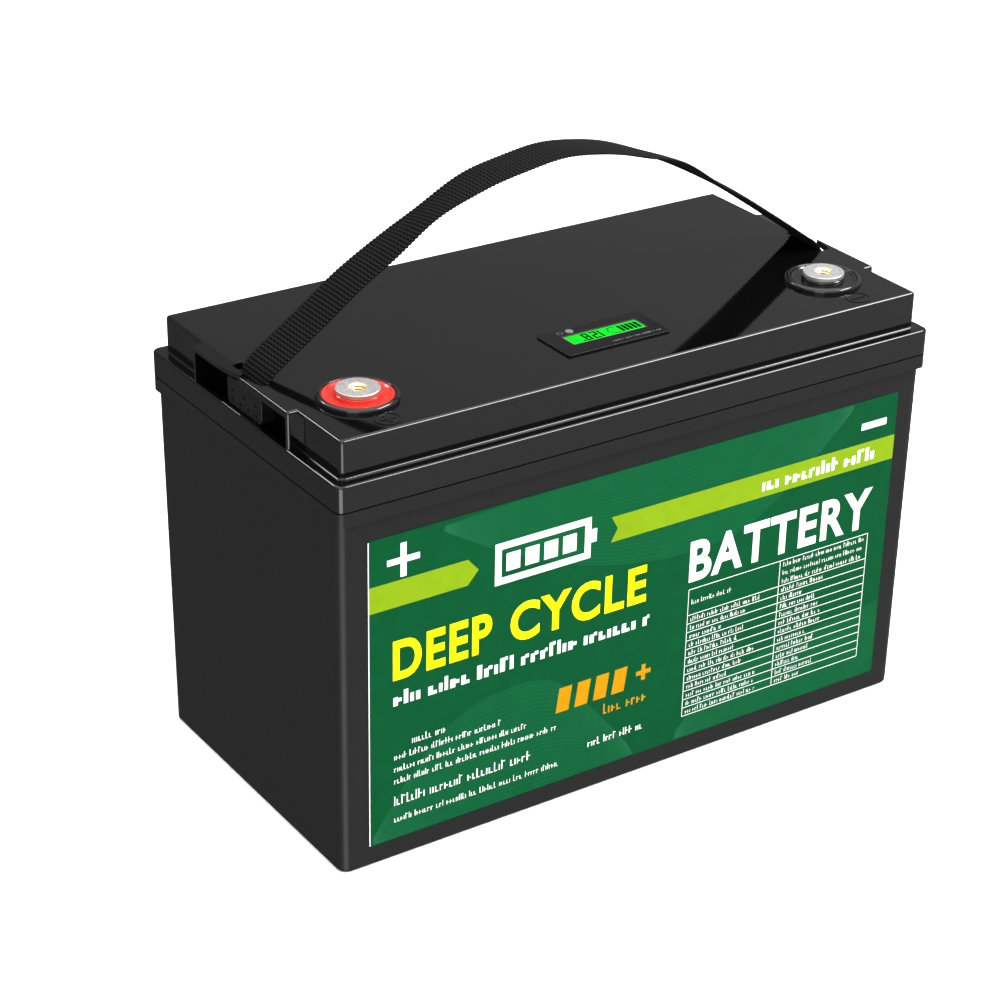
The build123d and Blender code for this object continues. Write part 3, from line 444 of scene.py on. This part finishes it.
# the front edge rides higher than the back edge where the arch comes off the hand's width
TWIST_X = 68.0
TWIST_SPREAD = 17.0
TWIST_LIFT = 4.3
SAMPLES_PER_RIB = 6
ACROSS = 24
RIDGE = 0.8
RIPPLE = 0.28
RIDGE_LEVEL, RIDGE_ROUNDING = 0.6, 0.02
LOOSE_X = 140.0
LOOSE_FADE = 25.0
RIB_DEPTH = 0.42
EDGE_SERRATION = 0.6
EDGE_POWER = 10
EDGE_THIN = 0.25


def strap_mesh():
    """The webbing strap: a ribbed band along the arch, keeled along its middle and rippled."""
    half = strap_half()
    whole = [(-x, z) for x, z in half[:0:-1]] + half
    line, length = evenly(whole, RIB_PITCH / SAMPLES_PER_RIB)
    points, faces, uvs = [], [], []
    loop = 2 * (ACROSS + 1)
    for i, (x, z) in enumerate(line):
        (ax, az), (bx, bz) = line[max(i - 1, 0)], line[min(i + 1, len(line) - 1)]
        run = math.hypot(bx - ax, bz - az)
        nx, nz = -(bz - az) / run, (bx - ax) / run
        phase = 2 * math.pi * i / SAMPLES_PER_RIB
        loose = max(0.0, min(1.0, (LOOSE_X - abs(x)) / LOOSE_FADE))
        ripple = RIPPLE * loose * (math.sin(x / 9.5 + 0.8) + 0.6 * math.sin(x / 5.7 + 2.0))
        twist = TWIST_LIFT * math.exp(-(((abs(x) - TWIST_X) / TWIST_SPREAD) ** 2))
        dip = 0.5 - 0.5 * math.cos(phase)
        half_width = STRAP_WIDTH / 2 - EDGE_SERRATION * dip
        for side in (1, -1):
            for k in range(ACROSS + 1):
                w = side * (2 * k / ACROSS - 1)
                body = (1 - abs(w) ** EDGE_POWER) ** 0.5
                thick = (STRAP_THICK / 2 - RIB_DEPTH * dip) * max(body, EDGE_THIN)
                ridge = RIDGE * loose * (RIDGE_LEVEL - math.sqrt(w * w + RIDGE_ROUNDING))
                lift = side * thick + ridge + ripple
                points.append((x + nx * lift, STRAP_Y + w * half_width, z + nz * lift - w * twist / 2))
                uvs.append((w * STRAP_WIDTH / 2 * MM, length * i / (len(line) - 1) * MM))
    for i in range(len(line) - 1):
        for k in range(loop):
            m = (k + 1) % loop
            faces.append((i * loop + k, i * loop + m, (i + 1) * loop + m, (i + 1) * loop + k))
    faces.append(tuple(range(loop - 1, -1, -1)))
    last = (len(line) - 1) * loop
    faces.append(tuple(range(last, last + loop)))
    strap = piece_from("strap_webbing", points, faces, weave_material, smooth=True)
    layer = strap.data.uv_layers.new(name="weave")
    for corner in strap.data.loops:
        layer.data[corner.index].uv = uvs[corner.vertex_index]
    return strap


strap = strap_mesh()
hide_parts("carry_strap", "strap_end_left", "strap_end_right")
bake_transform(strap)


# ================================================================ threads in the terminals
THREAD_PITCH = 1.25
THREAD_CREST = 0.45
THREAD_ROOT = 0.05
THREAD_HALF_WIDTH = 0.5
THREAD_STEPS = 36
THREAD_START = 0.6
THREAD_STOP = 1.6


def thread(name, side):
    """A raised helical crest on the wall of one terminal's hole."""
    turns = int((TERMINAL_TOP_Z - THREAD_STOP - THREAD_BOTTOM_Z) / THREAD_PITCH)
    root_r = THREAD_R + THREAD_ROOT
    profile = ((root_r, -THREAD_HALF_WIDTH), (THREAD_R - THREAD_CREST, 0.0), (root_r, THREAD_HALF_WIDTH))
    points, faces = [], []
    for i in range(turns * THREAD_STEPS + 1):
        angle = 2 * math.pi * i / THREAD_STEPS
        z = THREAD_BOTTOM_Z + THREAD_START + THREAD_PITCH * i / THREAD_STEPS
        for radius, rise in profile:
            x, y = radius * math.cos(angle), radius * math.sin(angle)
            points.append((side * TERMINAL_X + x, TERMINAL_Y + y, z + rise))
    count = len(profile)
    for i in range(turns * THREAD_STEPS):
        for k in range(count):
            m = (k + 1) % count
            faces.append((i * count + k, (i + 1) * count + k, (i + 1) * count + m, i * count + m))
    faces.append((0, 1, 2))
    last = turns * THREAD_STEPS * count
    faces.append((last + 2, last + 1, last))
    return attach(piece_from(name, points, faces, brass), "case")


brass = metal("thread_brass", (0.66, 0.50, 0.26), 0.3)
for pole, (side, rim_colour) in POLES.items():
    thread(pole + "_terminal_thread", side)

# ================================================================ spring boot under the meter's button
BUTTON_AT = (-12.0, -35.0)
BOOT_SLOT = "button_rubber"
BOOT_LOW, BOOT_HIGH = 211.02, 214.23
BOOT_STEPS = 48
# (radius, z) round the sleeve's section
BOOT_PROFILE = (
    (1.5, BOOT_LOW),
    (1.78, BOOT_LOW),
    (1.76, 212.2),
    (1.69, BOOT_HIGH),
    (1.32, BOOT_HIGH),
    (1.42, 212.6),
)


def rubber_boot():
    """A hollow rubber sleeve round the plunger, lathed from its section."""
    points, faces = [], []
    count = len(BOOT_PROFILE)
    for step in range(BOOT_STEPS):
        angle = 2 * math.pi * step / BOOT_STEPS
        for radius, z in BOOT_PROFILE:
            x, y = radius * math.cos(angle), radius * math.sin(angle)
            points.append((BUTTON_AT[0] + x, BUTTON_AT[1] + y, z))
    for step in range(BOOT_STEPS):
        near, far = step * count, (step + 1) % BOOT_STEPS * count
        for k in range(count):
            m = (k + 1) % count
            faces.append((near + k, far + k, far + m, near + m))
    return piece_from("button_boot", points, faces, slot_materials[BOOT_SLOT], smooth=True)


boot = rubber_boot()
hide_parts("meter_button_dome")
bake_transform(boot)

# ================================================================ front label
label_low, label_high = (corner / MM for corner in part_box("front_label"))
label_lean = (label_high.y - label_low.y - LABEL_THICK) / (label_high.z - label_low.z)
LEFT_EDGE = label_low.x
RIGHT_EDGE = label_high.x
LAYER = 0.03
SUNK = -0.02


def on_label(x, z, lift):
    """A point off the label's printed face, which leans out a little with height."""
    return (x, label_low.y + label_lean * (label_high.z - z) - lift, z)


def printed(name, outlines, material, layer=1):
    """Ink on the label, as thin closed slabs. Higher layers lie over lower ones."""
    return slabs(name, outlines, on_label, LAYER * layer, material)


white = printed_film("ink_white", (0.86, 0.86, 0.85), 0.02)
lime = printed_film("ink_lime", (0.17, 0.28, 0.004), 0.04)
yellow = printed_film("ink_yellow", (1.0, 0.88, 0.0), 0.03)
orange = printed_film("ink_orange", (0.44, 0.205, 0.0), 0.05)
pale_green = printed_film("ink_pale_green", (0.0006, 0.071, 0.021), 0.05)
line_green = printed_film("ink_line_green", (0.008, 0.098, 0.038), 0.05)

# swooshes: a paler field between two curves, crossed by fine parallel lines
SWOOSHES = {
    "upper": (
        [
            (-112, 163), (-84, 146), (-57, 133), (-25, 121), (16, 114),
            (54, 116), (79, 129), (97, 142), (124, 166),
        ],
        [
            (-112, 164), (-84, 165.5), (-57, 166), (-25, 166), (16, 166),
            (54, 166), (79, 166), (97, 166), (124, 166.4),
        ],
    ),
    "lower": (
        [(-148, 10.8), (-120, 10.8), (-95, 10.8), (-70, 10.8), (-45, 10.8), (-22, 10.8), (0, 10.8)],
        [(-148, 12), (-131, 36), (-112, 57), (-87, 69), (-53, 68), (-28, 46), (0, 11.2)],
    ),
    "right": (
        [(22, 10.8), (50, 10.8), (80, 10.8), (115, 10.8), (RIGHT_EDGE - 0.4, 10.8)],
        [(22, 12), (42, 32), (72, 43), (112, 48), (RIGHT_EDGE - 0.4, 51)],
    ),
}
SWOOSH_LINES = 26
SWOOSH_LINE_WIDTH = 0.16
SWOOSH_LAYER, SWOOSH_LINE_LAYER = 0.3, 0.45
for name, (low_points, high_points) in SWOOSHES.items():
    low, high = smooth_line(low_points), smooth_line(high_points)
    printed(f"label_swoosh_{name}", [low + high[::-1]], pale_green, SWOOSH_LAYER)
    lines = []
    for n in range(SWOOSH_LINES):
        t = n / (SWOOSH_LINES - 1)
        line = [(a[0] + (b[0] - a[0]) * t, a[1] + (b[1] - a[1]) * t) for a, b in zip(low, high)]
        lines.append(ribbon(line, SWOOSH_LINE_WIDTH))
    printed(f"label_swoosh_{name}_lines", lines, line_green, SWOOSH_LINE_LAYER)

# lime bands with a gap between them, and a plain battery pictogram in the gap
BAND_LOW, BAND_HIGH = 131.1, 144.1
ARROW_ROOT_X, ARROW_TIP_X = -97.4, -91.7
NOTCH_ROOT_X, NOTCH_TIP_X = -19.7, -16.1
band_mid = (BAND_LOW + BAND_HIGH) / 2
left_band = [
    (LEFT_EDGE, BAND_LOW),
    (ARROW_ROOT_X, BAND_LOW),
    (ARROW_TIP_X, band_mid),
    (ARROW_ROOT_X, BAND_HIGH),
    (LEFT_EDGE, BAND_HIGH),
]
right_band = [
    (NOTCH_ROOT_X, BAND_LOW),
    (RIGHT_EDGE, BAND_LOW),
    (RIGHT_EDGE, BAND_HIGH),
    (NOTCH_ROOT_X, BAND_HIGH),
    (NOTCH_TIP_X, band_mid),
]
printed("label_bands", [left_band, right_band], lime)
PICTOGRAM = (-83.0, 126.5, -31.0, 147.5)
STROKE = 3.4
STUD_LENGTH = 3.2
CHARGE_INSET = 6.0
CHARGE_PITCH = 10.2
CHARGE_WIDTH = 7.4
CHARGE_BARS = 4
px0, pz0, px1, pz1 = PICTOGRAM
frame_bars = [
    bar(px0, pz0, px1, pz0 + STROKE),
    bar(px0, pz1 - STROKE, px1, pz1),
    bar(px0, pz0 + STROKE, px0 + STROKE, pz1 - STROKE),
    bar(px1 - STROKE, pz0 + STROKE, px1, pz1 - STROKE),
    bar(px1, band_mid - STROKE, px1 + STUD_LENGTH, band_mid + STROKE),
]
charge_xs = [px0 + CHARGE_INSET + CHARGE_PITCH * i for i in range(CHARGE_BARS)]
charge_bars = [bar(x, pz0 + CHARGE_INSET, x + CHARGE_WIDTH, pz1 - CHARGE_INSET) for x in charge_xs]
printed("label_pictogram", frame_bars + charge_bars, white)

# polarity marks and the film's cut edge
ARM, BAR_HALF = 8.3, 1.5
plus_x, plus_z = -130.6, 153.7
plus = [
    bar(plus_x - ARM, plus_z - BAR_HALF, plus_x + ARM, plus_z + BAR_HALF),
    bar(plus_x - BAR_HALF, plus_z + BAR_HALF, plus_x + BAR_HALF, plus_z + ARM),
    bar(plus_x - BAR_HALF, plus_z - ARM, plus_x + BAR_HALF, plus_z - BAR_HALF),
]
minus = [bar(127.6, 151.2, 143.2, 154.8)]
printed("label_polarity_marks", plus + minus, white)
CUT_EDGE_WIDTH, CUT_EDGE_MARGIN, CUT_EDGE_LAYER = 0.45, 0.4, 1.3
cut_low, cut_high = label_low.z + CUT_EDGE_MARGIN, label_high.z - CUT_EDGE_MARGIN
cut_edge = bar(LEFT_EDGE, cut_low, LEFT_EDGE + CUT_EDGE_WIDTH, cut_high)
printed("label_cut_edge", [cut_edge], white, CUT_EDGE_LAYER)

# lettering
TEXT_STEPS = 6
TEXT_WEIGHT = 0.03
TEXT_SPACING = 1.12


def fitted_text(name, body, box, material, layer=1):
    """Generic lettering stretched to fill box (x0, z0, x1, z1) on the label."""
    curve = bpy.data.curves.new(name, "FONT")
    curve.body = body
    curve.offset = TEXT_WEIGHT
    curve.space_character = TEXT_SPACING
    curve.resolution_u = TEXT_STEPS
    source = bpy.data.objects.new(name + "_source", curve)
    bpy.context.scene.collection.objects.link(source)
    bpy.context.view_layer.update()
    mesh = bpy.data.meshes.new_from_object(source.evaluated_get(bpy.context.evaluated_depsgraph_get()))
    bpy.data.objects.remove(source)
    flat = [(v.co.x, v.co.y) for v in mesh.vertices]
    a0, a1 = min(a for a, b in flat), max(a for a, b in flat)
    b0, b1 = min(b for a, b in flat), max(b for a, b in flat)
    x0, z0, x1, z1 = box
    spots = [(x0 + (a - a0) / (a1 - a0) * (x1 - x0), z0 + (b - b0) / (b1 - b0) * (z1 - z0)) for a, b in flat]
    count = len(spots)
    faces = [tuple(p.vertices) for p in mesh.polygons]
    edges = {edge: True for face in faces for edge in zip(face, face[1:] + face[:1])}
    rims = [edge for edge in edges if edge[::-1] not in edges]
    bpy.data.meshes.remove(mesh)
    points = [on_label(x, z, LAYER * layer) for x, z in spots] + [on_label(x, z, SUNK) for x, z in spots]
    walls = [(b, a, a + count, b + count) for a, b in rims]
    backs = [tuple(v + count for v in reversed(face)) for face in faces]
    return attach(piece_from(name, points, faces + backs + walls, material), "case")


# generic words in plain upright letters
WORDS = {
    "label_word_left": ("DEEP", (-136.0, 94.0, -84.0, 114.0)),
    "label_word_right": ("CYCLE", (-74.0, 94.0, 2.0, 114.0)),
}
WORD_LAYER = 1.4
for name, (body, box) in WORDS.items():
    fitted_text(name, body, box, yellow, WORD_LAYER)
fitted_text("label_heading", "BATTERY", (27.0, 96.6, 138.4, 118.4), white)


def unreadable(name, rows, material, seed, bold=1.0, layer=1):
    """Rows (x0, x1, middle z, height) of plain strokes in word-sized groups, standing for small print.

    Strokes, gaps and words are shares of the row's height, drawn with a fixed seed.
    """
    draw = random.Random(seed)
    outlines = []
    for x0, x1, z, height in rows:
        x = x0
        left_in_word = draw.randint(3, 8)
        while x < x1 - 0.3 * height:
            stroke = height * draw.uniform(0.13, 0.2) * bold
            tall = height * draw.choice((0.62, 0.62, 0.66, 1.0))
            outlines.append(bar(x, z - height / 2, x + stroke, z - height / 2 + tall))
            if draw.random() < 0.6:
                foot = z - height / 2 + tall * draw.choice((0.0, 0.42, 0.78))
                reach = height * draw.uniform(0.18, 0.3)
                outlines.append(bar(x + stroke, foot, x + stroke + reach, foot + height * 0.13 * bold))
                x += reach
            x += stroke + height * 0.16
            left_in_word -= 1
            if left_in_word == 0:
                x += height * 0.42
                left_in_word = draw.randint(3, 9)
    return printed(name, outlines, material, layer)


unreadable("label_subtitle", [(-135.8, 7.0, 84.4, 7.2)], white, 1, 1.9)
unreadable("label_band_note", [(68.0, 140.0, 137.6, 7.0)], white, 2, 1.7, 1.4)
unreadable("label_small_note", [(-28.3, 7.0, 25.6, 4.0)], white, 3, 0.8)
unreadable("label_endurance_note", [(-20.0, 7.4, 42.0, 5.6)], orange, 4)
notes = [
    (-126.0, -106.0, 60.5, 3.8),
    (-135.4, -78.0, 54.0, 3.2),
    (-135.4, -62.0, 47.6, 3.2),
    (-135.4, -46.0, 41.2, 3.2),
    (-135.4, -60.0, 30.5, 5.0),
    (-135.4, -45.0, 20.6, 3.2),
]
unreadable("label_notes", notes, white, 5, 0.72)

# four slanted charge bars and a small plus, in place of a printed count
COUNT_X, COUNT_LOW, COUNT_HIGH = -47.5, 48.5, 61.5
COUNT_WIDTH, COUNT_PITCH, COUNT_LEAN = 7.2, 10.6, 1.8
count_bars = [
    [
        (x, COUNT_LOW),
        (x + COUNT_WIDTH, COUNT_LOW),
        (x + COUNT_WIDTH + COUNT_LEAN, COUNT_HIGH),
        (x + COUNT_LEAN, COUNT_HIGH),
    ]
    for x in (COUNT_X + COUNT_PITCH * i for i in range(CHARGE_BARS))
]
count_plus = [bar(-1.5, 54.2, 7.0, 56.6), bar(1.6, 56.6, 3.9, 59.7), bar(1.6, 51.1, 3.9, 54.2)]
printed("label_endurance_bars", count_bars + count_plus, orange)

# ruled table of unreadable rows: the first is three rows high
TABLE = (27.5, 22.4, 138.0, 92.6)
TABLE_DIVIDER = 82.8
TABLE_UNITS = 15
FIRST_ROW_UNITS = 3
RULE = 0.3
CELL_INSET = 2
CELL_TEXT = 2.6
tx0, tz0, tx1, tz1 = TABLE
unit = (tz1 - tz0) / TABLE_UNITS
rule_zs = [tz1] + [tz1 - unit * n for n in range(FIRST_ROW_UNITS, TABLE_UNITS + 1)]
rules = [bar(tx0, z - RULE / 2, tx1, z + RULE / 2) for z in rule_zs]
rules += [bar(x - RULE / 2, tz0, x + RULE / 2, tz1) for x in (tx0, TABLE_DIVIDER, tx1)]
printed("label_table_rules", rules, white)
draw_width = random.Random(6)
left_x, right_x = tx0 + CELL_INSET, TABLE_DIVIDER + CELL_INSET
cells = [(left_x, tx0 + 26, tz1 - unit * FIRST_ROW_UNITS / 2, CELL_TEXT)]
cells += [(right_x, tx1 - CELL_INSET, tz1 - unit * (n + 0.5), CELL_TEXT) for n in range(FIRST_ROW_UNITS)]
for n in range(FIRST_ROW_UNITS, TABLE_UNITS):
    row_z = tz1 - unit * (n + 0.5)
    cells.append((left_x, tx0 + draw_width.uniform(22, 50), row_z, CELL_TEXT))
    cells.append((right_x, TABLE_DIVIDER + draw_width.uniform(10, 34), row_z, CELL_TEXT))
unreadable("label_table_rows", cells, white, 7, 0.6)


# ================================================================ charge meter
def on_meter(x, y, lift):
    return (x, y, METER_TOP_Z + lift)


def on_display(x, y, lift):
    return (x, y, DISPLAY_TOP_Z + lift)


dark_segment = plastic("segment_black", (0.0, 0.004, 0.0), 0.7, 0.0)
screen_line = plastic("screen_line_violet", (0.10, 0.008, 0.07), 0.4)
meter_grey = plastic("meter_print_grey", (0.17, 0.18, 0.21), 0.5)
ring_grey = plastic("meter_ring_grey", (0.09, 0.095, 0.11), 0.5)

# digits are read from the back, so right runs along -X and up along -Y
DIGIT_HEIGHT, DIGIT_WIDTH, SEGMENT = 7.4, 3.4, 1.0
SEGMENT_GAP = 0.15
SEGMENT_INSET = 0.1
SEGMENTS = {"1": "bc", "2": "abged", "8": "abcdefg"}


def digit(character, centre_x):
    """Seven-segment bars as (right, up) millimetres about the digit's middle, then turned to x, y."""
    h, w, s = DIGIT_HEIGHT / 2, DIGIT_WIDTH / 2, SEGMENT
    low, high = SEGMENT_GAP, h - SEGMENT_INSET
    places = {
        "a": (-w, h - s, w, h),
        "g": (-w, -s / 2, w, s / 2),
        "d": (-w, -h, w, -h + s),
        "b": (w - s, low, w, high),
        "c": (w - s, -high, w, -low),
        "f": (-w, low, -w + s, high),
        "e": (-w, -high, -w + s, -low),
    }
    made = []
    for letter in SEGMENTS[character]:
        r0, u0, r1, u1 = places[letter]
        made.append([(centre_x - r, WINDOW[1] - u) for r, u in bar(r0, u0, r1, u1)])
    return made


wx, wy, wl, wd = WINDOW
THIN_INK, THICK_INK = 0.02, 0.03
reading = digit("1", 0.9) + digit("2", -3.4) + digit("8", -8.0)
reading.append(bar(-11.5, wy - 3.7, -10.5, wy - 2.7))
slabs("meter_reading", reading, on_display, THICK_INK, dark_segment)
GAUGE_X, GAUGE_PITCH, GAUGE_BARS = 10.2, 2.3, 5
GAUGE_WIDTH, GAUGE_HALF = 1.7, 3.3
gauge_xs = [GAUGE_X + GAUGE_PITCH * i for i in range(GAUGE_BARS)]
gauge_bars = [bar(x, wy - GAUGE_HALF, x + GAUGE_WIDTH, wy + GAUGE_HALF) for x in gauge_xs]
# half of the battery outline in front of the bars, as (x, distance from the middle)
GAUGE_TIP = ((9.2, 3.1), (5.0, 3.1), (5.0, 1.2), (4.0, 1.2))
GAUGE_LINE = 0.5
tip_line = [(x, wy + half) for x, half in GAUGE_TIP] + [(x, wy - half) for x, half in GAUGE_TIP[::-1]]
slabs("meter_gauge", gauge_bars, on_display, THICK_INK, dark_segment)
gauge_outline = ribbon(tip_line, GAUGE_LINE)
slabs("meter_gauge_outline", [gauge_outline], on_display, THICK_INK, dark_segment)

BORDER = 0.45
left, right, front, back = wx - wl / 2, wx + wl / 2, wy - wd / 2, wy + wd / 2
screen_border = [
    bar(left - BORDER, front - BORDER, right + BORDER, front),
    bar(left - BORDER, back, right + BORDER, back + BORDER),
    bar(left - BORDER, front, left, back),
    bar(right, front, right + BORDER, back),
]
slabs("meter_screen_border", screen_border, on_meter, THIN_INK, screen_line)
RING_AT, RING_RADIUS, RING_LINE = (-16.9, -34.6), 1.5, 0.3
ring = ring_strips(*RING_AT, RING_RADIUS, RING_LINE)
slabs("meter_ring_mark", ring, on_meter, THICK_INK, ring_grey)
PRINT_START_X, PRINT_END_X, PRINT_Y = -0.9, 26.0, -54.6
PRINT_STROKE = 0.28
draw = random.Random(8)
strokes, x = [], PRINT_START_X
while x < PRINT_END_X:
    tall = draw.choice((0.8, 0.8, 1.2))
    strokes.append(bar(x, PRINT_Y, x + PRINT_STROKE, PRINT_Y + tall))
    x += draw.choice((0.6, 0.7, 0.75, 1.5))
slabs("meter_print", strokes, on_meter, THIN_INK, meter_grey)

# ================================================================ studio
FLOOR_HALF = 12.0
FLOOR_DROP = 0.0002
floor_mesh = bpy.data.meshes.new("studio_floor")
floor_corners = [(x, y, 0) for x, y in bar(-FLOOR_HALF, -FLOOR_HALF, FLOOR_HALF, FLOOR_HALF)]
floor_mesh.from_pydata(floor_corners, [], [(0, 1, 2, 3)])
floor_mesh.materials.append(floor_paper())
floor = bpy.data.objects.new("studio_floor", floor_mesh)
floor.location.z = -FLOOR_DROP
floor.visible_glossy = False
bpy.context.scene.collection.objects.link(floor)

# soft surroundings, brighter in front of the battery than behind it, with a bright
# patch low in front of its near corner that draws a fine line down each rounded upright edge
SURROUND_FRONT, SURROUND_BACK = 0.99, 0.15
DARK_DIRECTION = (0.0, 1.0, -0.3)
PATCH_DIRECTION = (-0.507, -0.722, -0.469)
PATCH_EDGE, PATCH_CORE = 0.93, 0.975
PATCH_BRIGHTNESS = 5.5
world = bpy.data.worlds.new("studio")
bpy.context.scene.world = world
world.use_nodes = True
background = world.node_tree.nodes["Background"]
background.inputs["Color"].default_value = (1, 1, 1, 1)
direction = world.node_tree.nodes.new("ShaderNodeTexCoord").outputs["Generated"]
behind = world.node_tree.nodes.new("ShaderNodeVectorMath")
behind.operation = "DOT_PRODUCT"
behind.inputs[1].default_value = DARK_DIRECTION
brightness = world.node_tree.nodes.new("ShaderNodeMapRange")
for socket, value in {1: -1.0, 2: 1.0, 3: SURROUND_FRONT, 4: SURROUND_BACK}.items():
    brightness.inputs[socket].default_value = value
world.node_tree.links.new(direction, behind.inputs[0])
world.node_tree.links.new(behind.outputs["Value"], brightness.inputs[0])
towards_patch = world.node_tree.nodes.new("ShaderNodeVectorMath")
towards_patch.operation = "DOT_PRODUCT"
towards_patch.inputs[1].default_value = PATCH_DIRECTION
patch = world.node_tree.nodes.new("ShaderNodeMapRange")
for socket, value in {1: PATCH_EDGE, 2: PATCH_CORE, 3: 0.0, 4: PATCH_BRIGHTNESS}.items():
    patch.inputs[socket].default_value = value
whole = world.node_tree.nodes.new("ShaderNodeMath")
world.node_tree.links.new(direction, towards_patch.inputs[0])
world.node_tree.links.new(towards_patch.outputs["Value"], patch.inputs[0])
world.node_tree.links.new(brightness.outputs[0], whole.inputs[0])
world.node_tree.links.new(patch.outputs[0], whole.inputs[1])
world.node_tree.links.new(whole.outputs[0], background.inputs["Strength"])

TARGET = Vector((0, 0, 0.12))
# name: (place in metres, width, height, watts)
LIGHTS = {
    "overhead_softbox": ((0.0, 0.0, 3.0), 6.0, 6.0, 215),
    "edge_softbox": ((1.4, -0.9, 2.0), 1.7, 0.5, 75),
    "back_left_strip": ((-0.8, 1.8, 1.7), 0.7, 0.35, 14),
    "left_softbox": ((-1.6, -1.6, 0.8), 1.2, 1.2, 9),
}
for name, (place, width, height, watts) in LIGHTS.items():
    data = bpy.data.lights.new(name, "AREA")
    data.shape = "RECTANGLE"
    data.size, data.size_y = width, height
    data.energy = watts
    lamp = bpy.data.objects.new(name, data)
    lamp.location = place
    lamp.rotation_euler = (TARGET - Vector(place)).to_track_quat("-Z", "Y").to_euler()
    bpy.context.scene.collection.objects.link(lamp)

# ================================================================ camera
AZIMUTH, ELEVATION, ROLL = math.radians(-35.084), math.radians(27.958), math.radians(1.512)
CAMERA_PLACE = (-0.653777, -0.940662, 0.687945)
camera_data = bpy.data.cameras.new("camera")
camera_data.sensor_width = 36.0
camera_data.lens = 94.784
camera_data.shift_x = -0.0529
camera_data.shift_y = 0.0582
camera = bpy.data.objects.new("camera", camera_data)
aim = Euler((0, 0, AZIMUTH)).to_matrix() @ Euler((math.pi / 2 - ELEVATION, 0, 0)).to_matrix()
camera.matrix_world = Matrix.Translation(CAMERA_PLACE) @ (aim @ Euler((0, 0, ROLL)).to_matrix()).to_4x4()
bpy.context.scene.collection.objects.link(camera)
bpy.context.scene.camera = camera
bpy.context.scene.view_settings.view_transform = "Standard"
